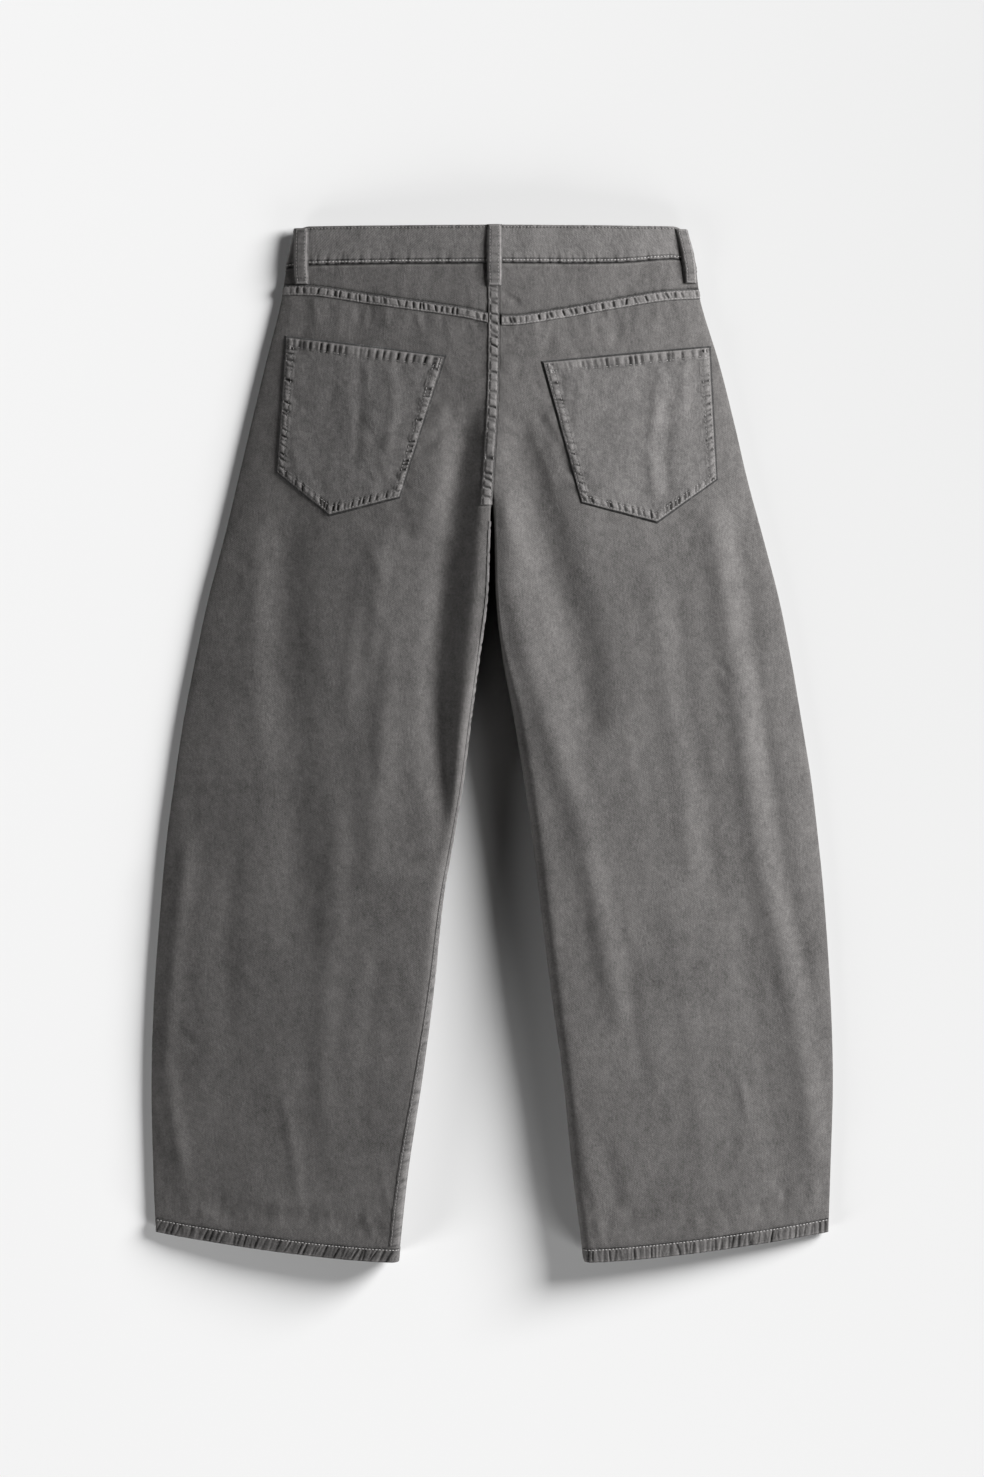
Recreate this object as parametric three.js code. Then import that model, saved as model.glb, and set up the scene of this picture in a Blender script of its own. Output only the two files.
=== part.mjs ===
// Barrel leg trousers in heavy cotton twill, laid flat with the back facing up.
// Millimetres. +X is to the right, +Y towards the waist, +Z up, and z = 0 is the surface they lie on.
// "down" is the distance below the waist's top edge. "share" runs across one side of the garment,
// from 0 at the centre seam or inseam to 1 at the outseam.
import * as THREE from "three";

const LEFT = { name: "left", sign: -1 };
const RIGHT = { name: "right", sign: 1 };

// Driving sizes
const LENGTH = 1016;
const WAIST_Y = LENGTH / 2;
const CROTCH_DOWN = 279;
const WALL = 1.2;
const SEAM_GAP = 0.3;

// Waistband, hems and felled seams
const WAISTBAND_HEIGHT = 38;
const WAISTBAND_WALL = 2.2;
const WAISTBAND_RAISE = 0.8;
const WAIST_CORNER_DROP = 7;
const WAIST_CORNER_START = 0.93;
const FRONT_WAIST_DROP = 18;
const HEM_HEIGHT = 14;
const HEM_RAISE = 0.9;
const HEM_OUTSEAM_LIFT = 27;
const HEM_CURVE_POWER = 1.5;
const FRONT_HEM_SETBACK = 2;
const FELL_WIDTH = 11;
const FELL_RAISE = 0.8;
const RELIEF_STEP = 1.3;
const INSEAM_FELL_WIDTH = 9;
const INSEAM_FELL_START = 655;

// How the cloth stands up off the surface. Each leg is highest on a crest near its inseam, rounds over
// to the inseam and slopes away to the outseam, which lies low. Above the crotch the crest is the centre,
// and the waist rounds over at the outseam too.
const OUTSEAM_HEIGHT = 8.4;
const INSEAM_HEIGHT_SHARE = 0.55;
const CREST_PLACE = 0.92;
const RAMP_SHARE = 0.8;
const RAMP_START = 50;
const RAMP_FULL = 220;
const RAMP_POWER = 1.3;
const ROUND_POWER = 2.5;
const FOLD_FADE_POWER = 12;
const CROTCH_CURVE = 88;
const FRONT_ROLL = 22;
const FRONT_WAIST_LIFT = 3.4;
const FRONT_LIFT_END = 75;
const FRONT_LIFT_GONE = 150;

// The outline on each side of the centre line
const OUTSEAM = [
  { down: 0, left: 191, right: 190 },
  { down: 38, left: 201.5, right: 200 },
  { down: 75, left: 208, right: 205.5 },
  { down: 133, left: 222.5, right: 223 },
  { down: 192, left: 236.7, right: 238 },
  { down: 250, left: 250.4, right: 251.5 },
  { down: 309, left: 264.5, right: 267.5 },
  { down: 368, left: 280, right: 282.7 },
  { down: 427, left: 292.5, right: 294.5 },
  { down: 486, left: 303.8, right: 304.5 },
  { down: 544, left: 312.6, right: 314 },
  { down: 603, left: 320.5, right: 321 },
  { down: 662, left: 326, right: 326.8 },
  { down: 750, left: 332.5, right: 332.7 },
  { down: 838, left: 335.4, right: 335.4 },
  { down: 927, left: 333.7, right: 333 },
  { down: 1016, left: 330, right: 330 },
];
const INSEAM = [
  { down: 279, left: 0.4, right: 0.4 },
  { down: 309, left: 2, right: 1.6 },
  { down: 368, left: 4.5, right: 3.4 },
  { down: 427, left: 12.5, right: 10.3 },
  { down: 486, left: 20.5, right: 21.5 },
  { down: 544, left: 28, right: 31 },
  { down: 603, left: 38, right: 39.5 },
  { down: 662, left: 48, right: 46.5 },
  { down: 750, left: 57, right: 57.5 },
  { down: 838, left: 68.5, right: 69.5 },
  { down: 927, left: 82, right: 78.5 },
  { down: 1016, left: 91.8, right: 90 },
];
const CENTRE_SEAM = [
  { down: 0, x: 6.5 },
  { down: 100, x: 7.8 },
  { down: 172, x: 6.6 },
  { down: 235, x: 3 },
  { down: 279, x: 0 },
];

// Height of the back above the surface, along the middle of a leg
const FULLNESS = [
  { down: 0, height: 21 },
  { down: 38, height: 25 },
  { down: 90, height: 32 },
  { down: 150, height: 37 },
  { down: 220, height: 41 },
  { down: 300, height: 43 },
  { down: 420, height: 44 },
  { down: 600, height: 43 },
  { down: 760, height: 40 },
  { down: 900, height: 35 },
  { down: 1016, height: 29 },
];

// Seams across the back, by distance to the right of the centre line
const WAIST_SEAM = [
  { x: -203, down: 41 },
  { x: -183, down: 38.5 },
  { x: 0, down: 38 },
  { x: 120, down: 37 },
  { x: 175, down: 32.5 },
  { x: 203, down: 33.5 },
];
const YOKE_SEAM = [
  { x: -206, down: 58 },
  { x: -174, down: 59.5 },
  { x: -120, down: 68.5 },
  { x: -36, down: 82 },
  { x: 7, down: 90.5 },
  { x: 59, down: 83.5 },
  { x: 112, down: 74 },
  { x: 165, down: 65 },
  { x: 206, down: 61.5 },
];

// The largest folds of the back. Each follows its points, with a rise (a trough where it is negative)
// and a half width, and fades at both ends.
const FOLDS = [
  { name: "left trough from the crotch", rise: -10, halfWidth: 15,
    path: [[-20, 168], [-26, 215], [-43, 330], [-56, 430], [-61, 500], [-62, 585]] },
  { name: "left crest beside the inseam", rise: 4, halfWidth: 9,
    path: [[-6, 235], [-12, 330], [-27, 459], [-38, 530], [-50, 620]] },
  { name: "left thigh trough", rise: -3.5, halfWidth: 24,
    path: [[-200, 270], [-204, 417], [-197, 544], [-186, 730]] },
  { name: "left outseam crease", rise: 3.2, halfWidth: 9,
    path: [[-298, 590], [-311, 694], [-322, 815], [-314, 878], [-300, 955]] },
  { name: "left hem trough", rise: -2.4, halfWidth: 10,
    path: [[-305, 958], [-200, 972], [-88, 985]] },
  { name: "right crest from the crotch", rise: 4, halfWidth: 13,
    path: [[9, 235], [15, 355], [36, 434], [61, 512], [84, 575], [97, 640], [112, 720], [128, 800]] },
  { name: "right trough from the crotch", rise: -8, halfWidth: 17,
    path: [[22, 168], [33, 225], [58, 329], [77, 390], [90, 466], [104, 540], [121, 650]] },
  { name: "right outer crest", rise: 4.6, halfWidth: 11,
    path: [[211, 262], [226, 344], [237, 434], [251, 537], [266, 642], [283, 712], [298, 775], [312, 860],
      [318, 940]] },
  { name: "right hem trough", rise: -1.8, halfWidth: 10,
    path: [[95, 985], [200, 972], [310, 956]] },
  { name: "left hip crease", rise: 1.6, halfWidth: 9,
    path: [[-238, 203], [-222, 212], [-200, 228]] },
];
const FOLD_END = 45;

// Back pockets, by their five corners as [x, down]
const POCKET_WALL = 1.2;
const POCKET_CLEARANCE = 0.7;
const POCKET_EDGE = 9.5;
const POCKET_TOP_HEM = 11.5;
const POCKET_RAISE = 0.8;
const POCKET_CELLS = 8;
const POCKETS = [
  { name: "pocket_left", topLeft: [-202.4, 109.3], topRight: [-46.6, 130.8], lowRight: [-90.7, 268],
    tip: [-159.3, 284.7], lowLeft: [-211.2, 242] },
  { name: "pocket_right", topLeft: [49.5, 136.7], topRight: [213.2, 119.1], lowRight: [220, 249.4],
    tip: [161.2, 291.6], lowLeft: [87.2, 272.9] },
];

// Belt loops. The insets are how far a loop's outer edge lies in from the outline, as seen from above, at
// its top and at its lower end.
const LOOP_WIDTH = 12;
const LOOP_WALL = 1.9;
const LOOP_ARCH = 1.6;
const LOOP_CLEARANCE = 0.5;
const LOOP_LENGTH = 61;
const LOOP_ROWS = 9;
const BACK_LOOP_X = 2.2;
const SIDE_LOOPS = [
  { name: "belt_loop_side_left", side: LEFT, topInset: 0.8, lowInset: 12.5, width: 11.5, top: 2,
    length: 55 },
  { name: "belt_loop_side_right", side: RIGHT, topInset: 0.3, lowInset: 3, width: 9.5, top: 3,
    length: 53 },
];
const FRONT_LOOP_X = 112;
const FRONT_LOOP_ARCH = 0.4;
const FRONT_LOOP_LENGTH = 52;

// Waist button
const BUTTON_RADIUS = 8.5;
const BUTTON_THICKNESS = 2.2;
const BUTTON_RIM = 1.6;
const BUTTON_DISH = 0.5;
const BUTTON_SEGMENTS = 28;
const FLY_LAP = 19;

// How finely the cloth is divided
const ROLL_INSETS = [0, 1.5, 5];
const BACK_COLUMNS = 13;
const BACK_ROWS = 27;
const FRONT_ROWS = 24;
const FRONT_COLUMNS = 6;
const EDGE_CROWDING = 0.4;
const ANGLE_STEP = 1e-3;
const DOWN_STEP = 0.5;

const cloth = new THREE.MeshStandardMaterial({ color: 0x5f5d5c, roughness: 0.92, metalness: 0 });
const raisedCloth = new THREE.MeshStandardMaterial({ color: 0x686665, roughness: 0.9, metalness: 0 });
const buttonMetal = new THREE.MeshStandardMaterial({ color: 0x8b8a88, roughness: 0.38, metalness: 0.9 });

function clamp(value, low, high) {
  return Math.min(high, Math.max(low, value));
}

function mix(from, to, amount) {
  return from + (to - from) * amount;
}

// 0 at "from", 1 at "to", and level at both
function ease(from, to, value) {
  const amount = clamp((value - from) / (to - from), 0, 1);
  return amount * amount * (3 - 2 * amount);
}

// A smooth curve through one column of a table, read at a place along another column
function readTable(table, place, column, at) {
  const last = table.length - 1;
  const where = clamp(at, table[0][place], table[last][place]);
  let row = 0;
  while (row < last - 1 && where > table[row + 1][place]) {
    row += 1;
  }
  const slopeAt = (index) => {
    const before = table[Math.max(index - 1, 0)];
    const after = table[Math.min(index + 1, last)];
    return (after[column] - before[column]) / (after[place] - before[place]);
  };
  const step = table[row + 1][place] - table[row][place];
  const t = (where - table[row][place]) / step;
  const start = table[row][column];
  const end = table[row + 1][column];
  return start * (2 * t ** 3 - 3 * t ** 2 + 1)
    + end * (3 * t ** 2 - 2 * t ** 3)
    + slopeAt(row) * step * (t ** 3 - 2 * t ** 2 + t)
    + slopeAt(row + 1) * step * (t ** 3 - t ** 2);
}

// Rise of all folds at a place on the back
function foldRise(x, down) {
  let total = 0;
  for (const fold of FOLDS) {
    let nearest = Infinity;
    let along = 0;
    let travelled = 0;
    for (let i = 0; i + 1 < fold.path.length; i += 1) {
      const [startX, startDown] = fold.path[i];
      const [endX, endDown] = fold.path[i + 1];
      const stepX = endX - startX;
      const stepDown = endDown - startDown;
      const length = Math.hypot(stepX, stepDown);
      const share = clamp(((x - startX) * stepX + (down - startDown) * stepDown) / length ** 2, 0, 1);
      const distance = Math.hypot(x - startX - share * stepX, down - startDown - share * stepDown);
      if (distance < nearest) {
        nearest = distance;
        along = travelled + share * length;
      }
      travelled += length;
    }
    const fade = ease(0, FOLD_END, along) * ease(0, FOLD_END, travelled - along);
    total += fold.rise * fade * Math.exp(-((nearest / fold.halfWidth) ** 2));
  }
  return total;
}

// One side's section at a height: where its edges lie, and how far it reaches past its own middle.
// Below the crotch the section is a whole leg. Above it the two sides open into one body.
function sectionAt(side, down) {
  const outer = readTable(OUTSEAM, "down", side.name, down);
  const centre = readTable(CENTRE_SEAM, "down", "x", down);
  const aboveCrotch = side.sign * centre + SEAM_GAP / 2;
  const inner = down < CROTCH_DOWN ? aboveCrotch : readTable(INSEAM, "down", side.name, down);
  const reach = ease(CROTCH_DOWN - CROTCH_CURVE, CROTCH_DOWN, down);
  const halfWidth = (outer - inner) / (1 + reach);
  const height = readTable(FULLNESS, "down", "height", down);
  const crest = -CREST_PLACE * reach;
  const rampShare = RAMP_SHARE * ease(RAMP_START, RAMP_FULL, down);
  return { outer, inner, reach, halfWidth, middle: outer - halfWidth, height, crest, rampShare };
}

// At a place across a section, given as the cosine of its angle: the height of the seam on that side
// of the crest, and how far up from that seam to the crest the back is
function profileAt(section, turn) {
  if (turn >= section.crest) {
    const off = clamp((turn - section.crest) / (1 - section.crest), 0, 1);
    const ramp = 1 - off ** RAMP_POWER;
    const round = Math.sqrt(1 - off ** ROUND_POWER);
    return { seam: OUTSEAM_HEIGHT, rise: mix(round, ramp, section.rampShare) };
  }
  const off = clamp((section.crest - turn) / (1 + section.crest), 0, 1);
  return { seam: section.height * INSEAM_HEIGHT_SHARE, rise: Math.sqrt(1 - off ** ROUND_POWER) };
}

// The angle round a section, from 0 at the outseam, of a place "share" of the way across
function angleOf(section, share) {
  return Math.acos(clamp(share * (1 + section.reach) - section.reach, -1, 1));
}

// The outer face of the back, with its folds
function backPoint(side, angle, down) {
  const section = sectionAt(side, down);
  const x = side.sign * (section.middle + section.halfWidth * Math.cos(angle));
  const turn = Math.cos(angle);
  const profile = profileAt(section, turn);
  const edge = profile.seam + SEAM_GAP / 2;
  const rise = Math.sign(Math.sin(angle)) * (section.height - edge) * profile.rise;
  const folds = foldRise(x, down) * (1 - Math.abs(turn) ** FOLD_FADE_POWER);
  return new THREE.Vector3(x, WAIST_Y - down, edge + rise + folds);
}

// The outer face of the front, flat on the surface and rolled up at its edges. At the waist it stands
// clear of the surface by the button and the belt loops.
function frontPoint(side, angle, down) {
  const section = sectionAt(side, down);
  const x = side.sign * (section.middle + section.halfWidth * Math.cos(angle));
  const edge = profileAt(section, Math.cos(angle)).seam - SEAM_GAP / 2;
  const floor = FRONT_WAIST_LIFT * (1 - ease(FRONT_LIFT_END, FRONT_LIFT_GONE, down));
  const inFromEdge = clamp(section.halfWidth * (1 - Math.abs(Math.cos(angle))) / FRONT_ROLL, 0, 1);
  const roll = Math.sign(Math.sin(angle)) * Math.sqrt(1 - (1 - inFromEdge) ** 2);
  return new THREE.Vector3(x, WAIST_Y - down, edge - (edge - floor) * roll);
}

const BACK = { pointAt: backPoint, facing: 1 };
const FRONT = { pointAt: frontPoint, facing: -1 };

// A point of a face, moved out along the face's normal
function liftedPoint(face, side, angle, down, lift) {
  const point = face.pointAt(side, angle, down);
  const across = face.pointAt(side, angle + ANGLE_STEP, down).sub(face.pointAt(side, angle - ANGLE_STEP, down));
  const along = face.pointAt(side, angle, down + DOWN_STEP).sub(face.pointAt(side, angle, down - DOWN_STEP));
  const normal = across.cross(along).normalize().multiplyScalar(side.sign * face.facing);
  return point.addScaledVector(normal, lift);
}

// The side and the angle of a place seen from above
function placeAt(x, down) {
  const side = x < readTable(CENTRE_SEAM, "down", "x", down) ? LEFT : RIGHT;
  const section = sectionAt(side, down);
  const share = (side.sign * x - section.inner) / (section.outer - section.inner);
  return { side, angle: angleOf(section, clamp(share, 0, 1)) };
}

// One closed solid between an outer and an inner grid of points
function closedSheet(outer, inner) {
  const rows = outer.length;
  const columns = outer[0].length;
  const positions = [];
  for (const grid of [outer, inner]) {
    for (const row of grid) {
      for (const point of row) {
        positions.push(point.x, point.y, point.z);
      }
    }
  }
  const at = (layer, row, column) => (layer * rows + row) * columns + column;
  const triangles = [];
  const quad = (a, b, c, d) => triangles.push([a, b, c], [a, c, d]);
  for (let row = 0; row + 1 < rows; row += 1) {
    for (let column = 0; column + 1 < columns; column += 1) {
      quad(at(0, row, column), at(0, row + 1, column), at(0, row + 1, column + 1), at(0, row, column + 1));
      quad(at(1, row, column), at(1, row, column + 1), at(1, row + 1, column + 1), at(1, row + 1, column));
    }
  }
  for (let row = 0; row + 1 < rows; row += 1) {
    const end = columns - 1;
    quad(at(0, row, 0), at(1, row, 0), at(1, row + 1, 0), at(0, row + 1, 0));
    quad(at(0, row, end), at(0, row + 1, end), at(1, row + 1, end), at(1, row, end));
  }
  for (let column = 0; column + 1 < columns; column += 1) {
    const end = rows - 1;
    quad(at(0, 0, column), at(0, 0, column + 1), at(1, 0, column + 1), at(1, 0, column));
    quad(at(0, end, column), at(1, end, column), at(1, end, column + 1), at(0, end, column + 1));
  }
  return facingOut(positions, triangles);
}

// A geometry whose faces all point out, whichever way its grid ran
function facingOut(positions, triangles) {
  const corner = (index) => new THREE.Vector3().fromArray(positions, index * 3);
  let volume = 0;
  for (const [a, b, c] of triangles) {
    volume += corner(a).dot(corner(b).cross(corner(c)));
  }
  const ordered = volume > 0 ? triangles : triangles.map(([a, b, c]) => [a, c, b]);
  const geometry = new THREE.BufferGeometry();
  geometry.setAttribute("position", new THREE.Float32BufferAttribute(positions, 3));
  geometry.setIndex(ordered.flat());
  geometry.computeVertexNormals();
  return geometry;
}

// Places from 0 to 1, some of them drawn towards both ends
function spread(count) {
  const places = [];
  for (let i = 1; i < count; i += 1) {
    const even = i / count;
    places.push(mix(even, (1 - Math.cos(Math.PI * even)) / 2, EDGE_CROWDING));
  }
  return places;
}

// Where a row's columns lie, as shares: fixed distances in from each edge, and the rest spread between
function columnShares(width, innerInsets, outerInsets, count) {
  const start = innerInsets[innerInsets.length - 1] / width;
  const end = 1 - outerInsets[outerInsets.length - 1] / width;
  return [
    ...innerInsets.map((inset) => inset / width),
    ...spread(count).map((place) => mix(start, end, place)),
    ...outerInsets.map((inset) => 1 - inset / width).reverse(),
  ];
}

// A panel of one side, from its top line to its bottom line. Rows lie at fixed distances from each
// line, with the rest spread evenly between, and "relief" raises the outer face.
function panel({ face, side, top, bottom, topInsets, bottomInsets, rows, innerInsets, outerInsets, columns,
  wall, relief }) {
  const outerGrid = [];
  const innerGrid = [];
  const topEnd = topInsets[topInsets.length - 1];
  const bottomEnd = bottomInsets[bottomInsets.length - 1];
  const lines = [
    ...topInsets.map((inset) => (share) => top(share) + inset),
    ...Array.from({ length: rows - 1 }, (_, i) => (share) => (
      mix(top(share) + topEnd, bottom(share) - bottomEnd, (i + 1) / rows))),
    ...bottomInsets.map((inset) => (share) => bottom(share) - inset).reverse(),
  ];
  for (const line of lines) {
    const middle = sectionAt(side, line(0.5));
    const width = middle.outer - middle.inner;
    const outerRow = [];
    const innerRow = [];
    for (const share of columnShares(width, innerInsets, outerInsets, columns)) {
      const down = line(share);
      const angle = angleOf(sectionAt(side, down), share);
      const place = {
        down,
        fromInner: share * width,
        fromOuter: (1 - share) * width,
        fromTop: down - top(share),
        fromBottom: bottom(share) - down,
      };
      outerRow.push(liftedPoint(face, side, angle, down, relief(place)));
      innerRow.push(liftedPoint(face, side, angle, down, -wall));
    }
    outerGrid.push(outerRow);
    innerGrid.push(innerRow);
  }
  return closedSheet(outerGrid, innerGrid);
}

// The lines that the panels are cut to, each by share
function seamLine(table, side, offset) {
  const width = Math.max(-table[0].x, table[table.length - 1].x);
  return (share) => readTable(table, "x", "down", side.sign * share * width) + offset;
}

function waistTop(share) {
  return WAIST_CORNER_DROP * clamp((share - WAIST_CORNER_START) / (1 - WAIST_CORNER_START), 0, 1) ** 2;
}

function frontWaistTop(share) {
  return waistTop(share) + FRONT_WAIST_DROP * (1 - share ** 2);
}

function backHem(share) {
  return LENGTH - HEM_OUTSEAM_LIFT * clamp(share, 0, 1) ** HEM_CURVE_POWER;
}

function frontHem(share) {
  return backHem(share) - FRONT_HEM_SETBACK;
}

function noRelief() {
  return 0;
}

// The raised strip where the left side is felled over the right
function centreFell(place) {
  return place.fromInner <= FELL_WIDTH + RELIEF_STEP / 2 && place.down < CROTCH_DOWN - FELL_WIDTH ? FELL_RAISE : 0;
}

function backRelief(side) {
  return (place) => {
    if (place.fromBottom <= HEM_HEIGHT + RELIEF_STEP / 2) {
      return HEM_RAISE;
    }
    if (place.fromTop <= FELL_WIDTH + RELIEF_STEP / 2) {
      return FELL_RAISE;
    }
    if (side === LEFT && place.down > INSEAM_FELL_START && place.fromInner <= INSEAM_FELL_WIDTH) {
      return FELL_RAISE;
    }
    return side === LEFT ? centreFell(place) : 0;
  };
}

function backPanel(side) {
  return panel({
    face: BACK,
    side,
    top: seamLine(YOKE_SEAM, side, SEAM_GAP / 2),
    bottom: backHem,
    topInsets: [0, FELL_WIDTH, FELL_WIDTH + RELIEF_STEP],
    bottomInsets: [0, HEM_HEIGHT, HEM_HEIGHT + RELIEF_STEP],
    rows: BACK_ROWS,
    innerInsets: [...ROLL_INSETS, FELL_WIDTH, FELL_WIDTH + RELIEF_STEP],
    outerInsets: ROLL_INSETS,
    columns: BACK_COLUMNS,
    wall: WALL,
    relief: backRelief(side),
  });
}

function frontPanel(side) {
  return panel({
    face: FRONT,
    side,
    top: (share) => frontWaistTop(share) + WAISTBAND_HEIGHT + SEAM_GAP,
    bottom: frontHem,
    topInsets: [0],
    bottomInsets: [0],
    rows: FRONT_ROWS,
    innerInsets: [...ROLL_INSETS, FELL_WIDTH, FRONT_ROLL],
    outerInsets: [...ROLL_INSETS, FELL_WIDTH, FRONT_ROLL],
    columns: FRONT_COLUMNS,
    wall: WALL,
    relief: noRelief,
  });
}

function yoke(side) {
  return panel({
    face: BACK,
    side,
    top: seamLine(WAIST_SEAM, side, SEAM_GAP / 2),
    bottom: seamLine(YOKE_SEAM, side, -SEAM_GAP / 2),
    topInsets: [0],
    bottomInsets: [0],
    rows: 3,
    innerInsets: [...ROLL_INSETS, FELL_WIDTH, FELL_WIDTH + RELIEF_STEP],
    outerInsets: ROLL_INSETS,
    columns: BACK_COLUMNS,
    wall: WALL,
    relief: side === LEFT ? centreFell : noRelief,
  });
}

// A waistband stretch, as columns of points that run from its top edge to its lower seam
function waistbandStretch(face, places, topLine, lowerLine) {
  const rows = 3;
  const outerGrid = [];
  const innerGrid = [];
  for (let row = 0; row <= rows; row += 1) {
    const outerRow = [];
    const innerRow = [];
    for (const { side, share } of places) {
      const down = mix(topLine(side, share), lowerLine(side, share), row / rows);
      const angle = angleOf(sectionAt(side, down), share);
      outerRow.push(liftedPoint(face, side, angle, down, WAISTBAND_RAISE));
      innerRow.push(liftedPoint(face, side, angle, down, WAISTBAND_RAISE - WAISTBAND_WALL));
    }
    outerGrid.push(outerRow);
    innerGrid.push(innerRow);
  }
  return closedSheet(outerGrid, innerGrid);
}

function sharesAcross(side, from) {
  const width = sectionAt(side, WAISTBAND_HEIGHT / 2).outer;
  const shares = columnShares(width, [0], [...ROLL_INSETS, FELL_WIDTH], BACK_COLUMNS - 2);
  return shares.filter((share) => share >= from).map((share) => ({ side, share }));
}

function waistbandBack() {
  const left = sharesAcross(LEFT, 0).reverse();
  const right = sharesAcross(RIGHT, 0).slice(1);
  const lower = (side, share) => seamLine(WAIST_SEAM, side, -SEAM_GAP / 2)(share);
  return waistbandStretch(BACK, [...left, ...right], (side, share) => waistTop(share), lower);
}

// The left stretch runs on past the centre, where the fly laps over
function waistbandFront(side) {
  const lapShare = FLY_LAP / sectionAt(RIGHT, WAISTBAND_HEIGHT).outer;
  const gapShare = SEAM_GAP / sectionAt(RIGHT, WAISTBAND_HEIGHT).outer;
  const top = (_, share) => frontWaistTop(share);
  const lower = (_, share) => frontWaistTop(share) + WAISTBAND_HEIGHT;
  if (side === LEFT) {
    const lap = [lapShare / 2, lapShare].map((share) => ({ side: RIGHT, share }));
    return waistbandStretch(FRONT, [...sharesAcross(LEFT, 0).reverse(), ...lap], top, lower);
  }
  const start = { side: RIGHT, share: lapShare + gapShare };
  return waistbandStretch(FRONT, [start, ...sharesAcross(RIGHT, lapShare * 1.5)], top, lower);
}

// Shares across a pocket: both edge bands and even cells between
function bandedPlaces(startBand, endBand, size, stops) {
  const places = [0, startBand / size, (startBand + RELIEF_STEP) / size];
  const end = 1 - (endBand + RELIEF_STEP) / size;
  for (const [from, to, cells] of stops(places[2], end)) {
    for (let i = 1; i <= cells; i += 1) {
      places.push(mix(from, to, i / cells));
    }
  }
  places.push(1 - endBand / size, 1);
  return places;
}

// A five-sided patch pocket that follows the panel under it, thicker along its sewn edges
function pocket({ topLeft, topRight, lowRight, tip, lowLeft }) {
  const width = topRight[0] - topLeft[0];
  const depth = tip[1] - (topLeft[1] + topRight[1]) / 2;
  const tipShare = (tip[0] - lowLeft[0]) / (lowRight[0] - lowLeft[0]);
  const half = POCKET_CELLS / 2;
  const acrossPlaces = bandedPlaces(POCKET_EDGE, POCKET_EDGE, width, (from, to) => [
    [from, tipShare, half], [tipShare, to, half]]);
  const downPlaces = bandedPlaces(POCKET_TOP_HEM, POCKET_EDGE, depth, (from, to) => [[from, to, POCKET_CELLS]]);
  const between = (a, b, amount) => [mix(a[0], b[0], amount), mix(a[1], b[1], amount)];
  const lowEdge = (share) => (share < tipShare
    ? between(lowLeft, tip, share / tipShare)
    : between(tip, lowRight, (share - tipShare) / (1 - tipShare)));
  const outerGrid = [];
  const innerGrid = [];
  downPlaces.forEach((downPlace, row) => {
    const outerRow = [];
    const innerRow = [];
    acrossPlaces.forEach((acrossPlace, column) => {
      const [x, down] = between(between(topLeft, topRight, acrossPlace), lowEdge(acrossPlace), downPlace);
      const inBand = row < 2 || row > downPlaces.length - 3 || column < 2 || column > acrossPlaces.length - 3;
      const raise = inBand ? POCKET_RAISE : 0;
      const { side, angle } = placeAt(x, down);
      outerRow.push(liftedPoint(BACK, side, angle, down, POCKET_CLEARANCE + POCKET_WALL + raise));
      innerRow.push(liftedPoint(BACK, side, angle, down, POCKET_CLEARANCE));
    });
    outerGrid.push(outerRow);
    innerGrid.push(innerRow);
  });
  return closedSheet(outerGrid, innerGrid);
}

// A belt loop: a strip down from the waist's edge, held at both ends and arched between
function beltLoop({ face, top, length, arch, route }) {
  const base = WAISTBAND_RAISE + LOOP_CLEARANCE;
  const outerGrid = [];
  const innerGrid = [];
  for (let row = 0; row <= LOOP_ROWS; row += 1) {
    const along = row / LOOP_ROWS;
    const down = top + along * length;
    const lift = base + arch * Math.sin(Math.PI * along);
    const places = [0, 0.5, 1].map((across) => route(across, down));
    outerGrid.push(places.map(({ side, angle }) => liftedPoint(face, side, angle, down, lift + LOOP_WALL)));
    innerGrid.push(places.map(({ side, angle }) => liftedPoint(face, side, angle, down, lift)));
  }
  return closedSheet(outerGrid, innerGrid);
}

// Where a loop centred on x lies on the back or the front
function centredRoute(x) {
  return (across, down) => placeAt(x + (across - 0.5) * LOOP_WIDTH, down);
}

// Where a loop beside the outseam lies, turned with the cloth
function sideRoute({ side, topInset, lowInset, width, top, length }) {
  return (across, down) => {
    const section = sectionAt(side, down);
    const inset = mix(topInset, lowInset, (down - top) / length);
    const share = 1 - (inset + across * width) / (section.outer - section.inner);
    return { side, angle: angleOf(section, share) };
  };
}

function button() {
  const rimInset = BUTTON_RADIUS - BUTTON_RIM;
  const profile = [
    [0, 0],
    [BUTTON_RADIUS - BUTTON_DISH, 0],
    [BUTTON_RADIUS, BUTTON_DISH],
    [BUTTON_RADIUS, BUTTON_THICKNESS - BUTTON_DISH],
    [BUTTON_RADIUS - BUTTON_DISH, BUTTON_THICKNESS],
    [rimInset, BUTTON_THICKNESS],
    [rimInset - BUTTON_DISH, BUTTON_THICKNESS - BUTTON_DISH],
    [0, BUTTON_THICKNESS - BUTTON_DISH],
  ];
  const outline = profile.map(([radius, height]) => new THREE.Vector2(radius, height));
  return new THREE.LatheGeometry(outline, BUTTON_SEGMENTS);
}

const trousers = new THREE.Group();

function add(name, geometry, material) {
  const mesh = new THREE.Mesh(geometry, material);
  mesh.name = name;
  trousers.add(mesh);
  return mesh;
}

for (const side of [LEFT, RIGHT]) {
  add(`back_${side.name}`, backPanel(side), cloth);
  add(`front_${side.name}`, frontPanel(side), cloth);
  add(`yoke_${side.name}`, yoke(side), cloth);
  add(`waistband_front_${side.name}`, waistbandFront(side), raisedCloth);
}
add("waistband_back", waistbandBack(), raisedCloth);

for (const corners of POCKETS) {
  add(corners.name, pocket(corners), raisedCloth);
}

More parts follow.
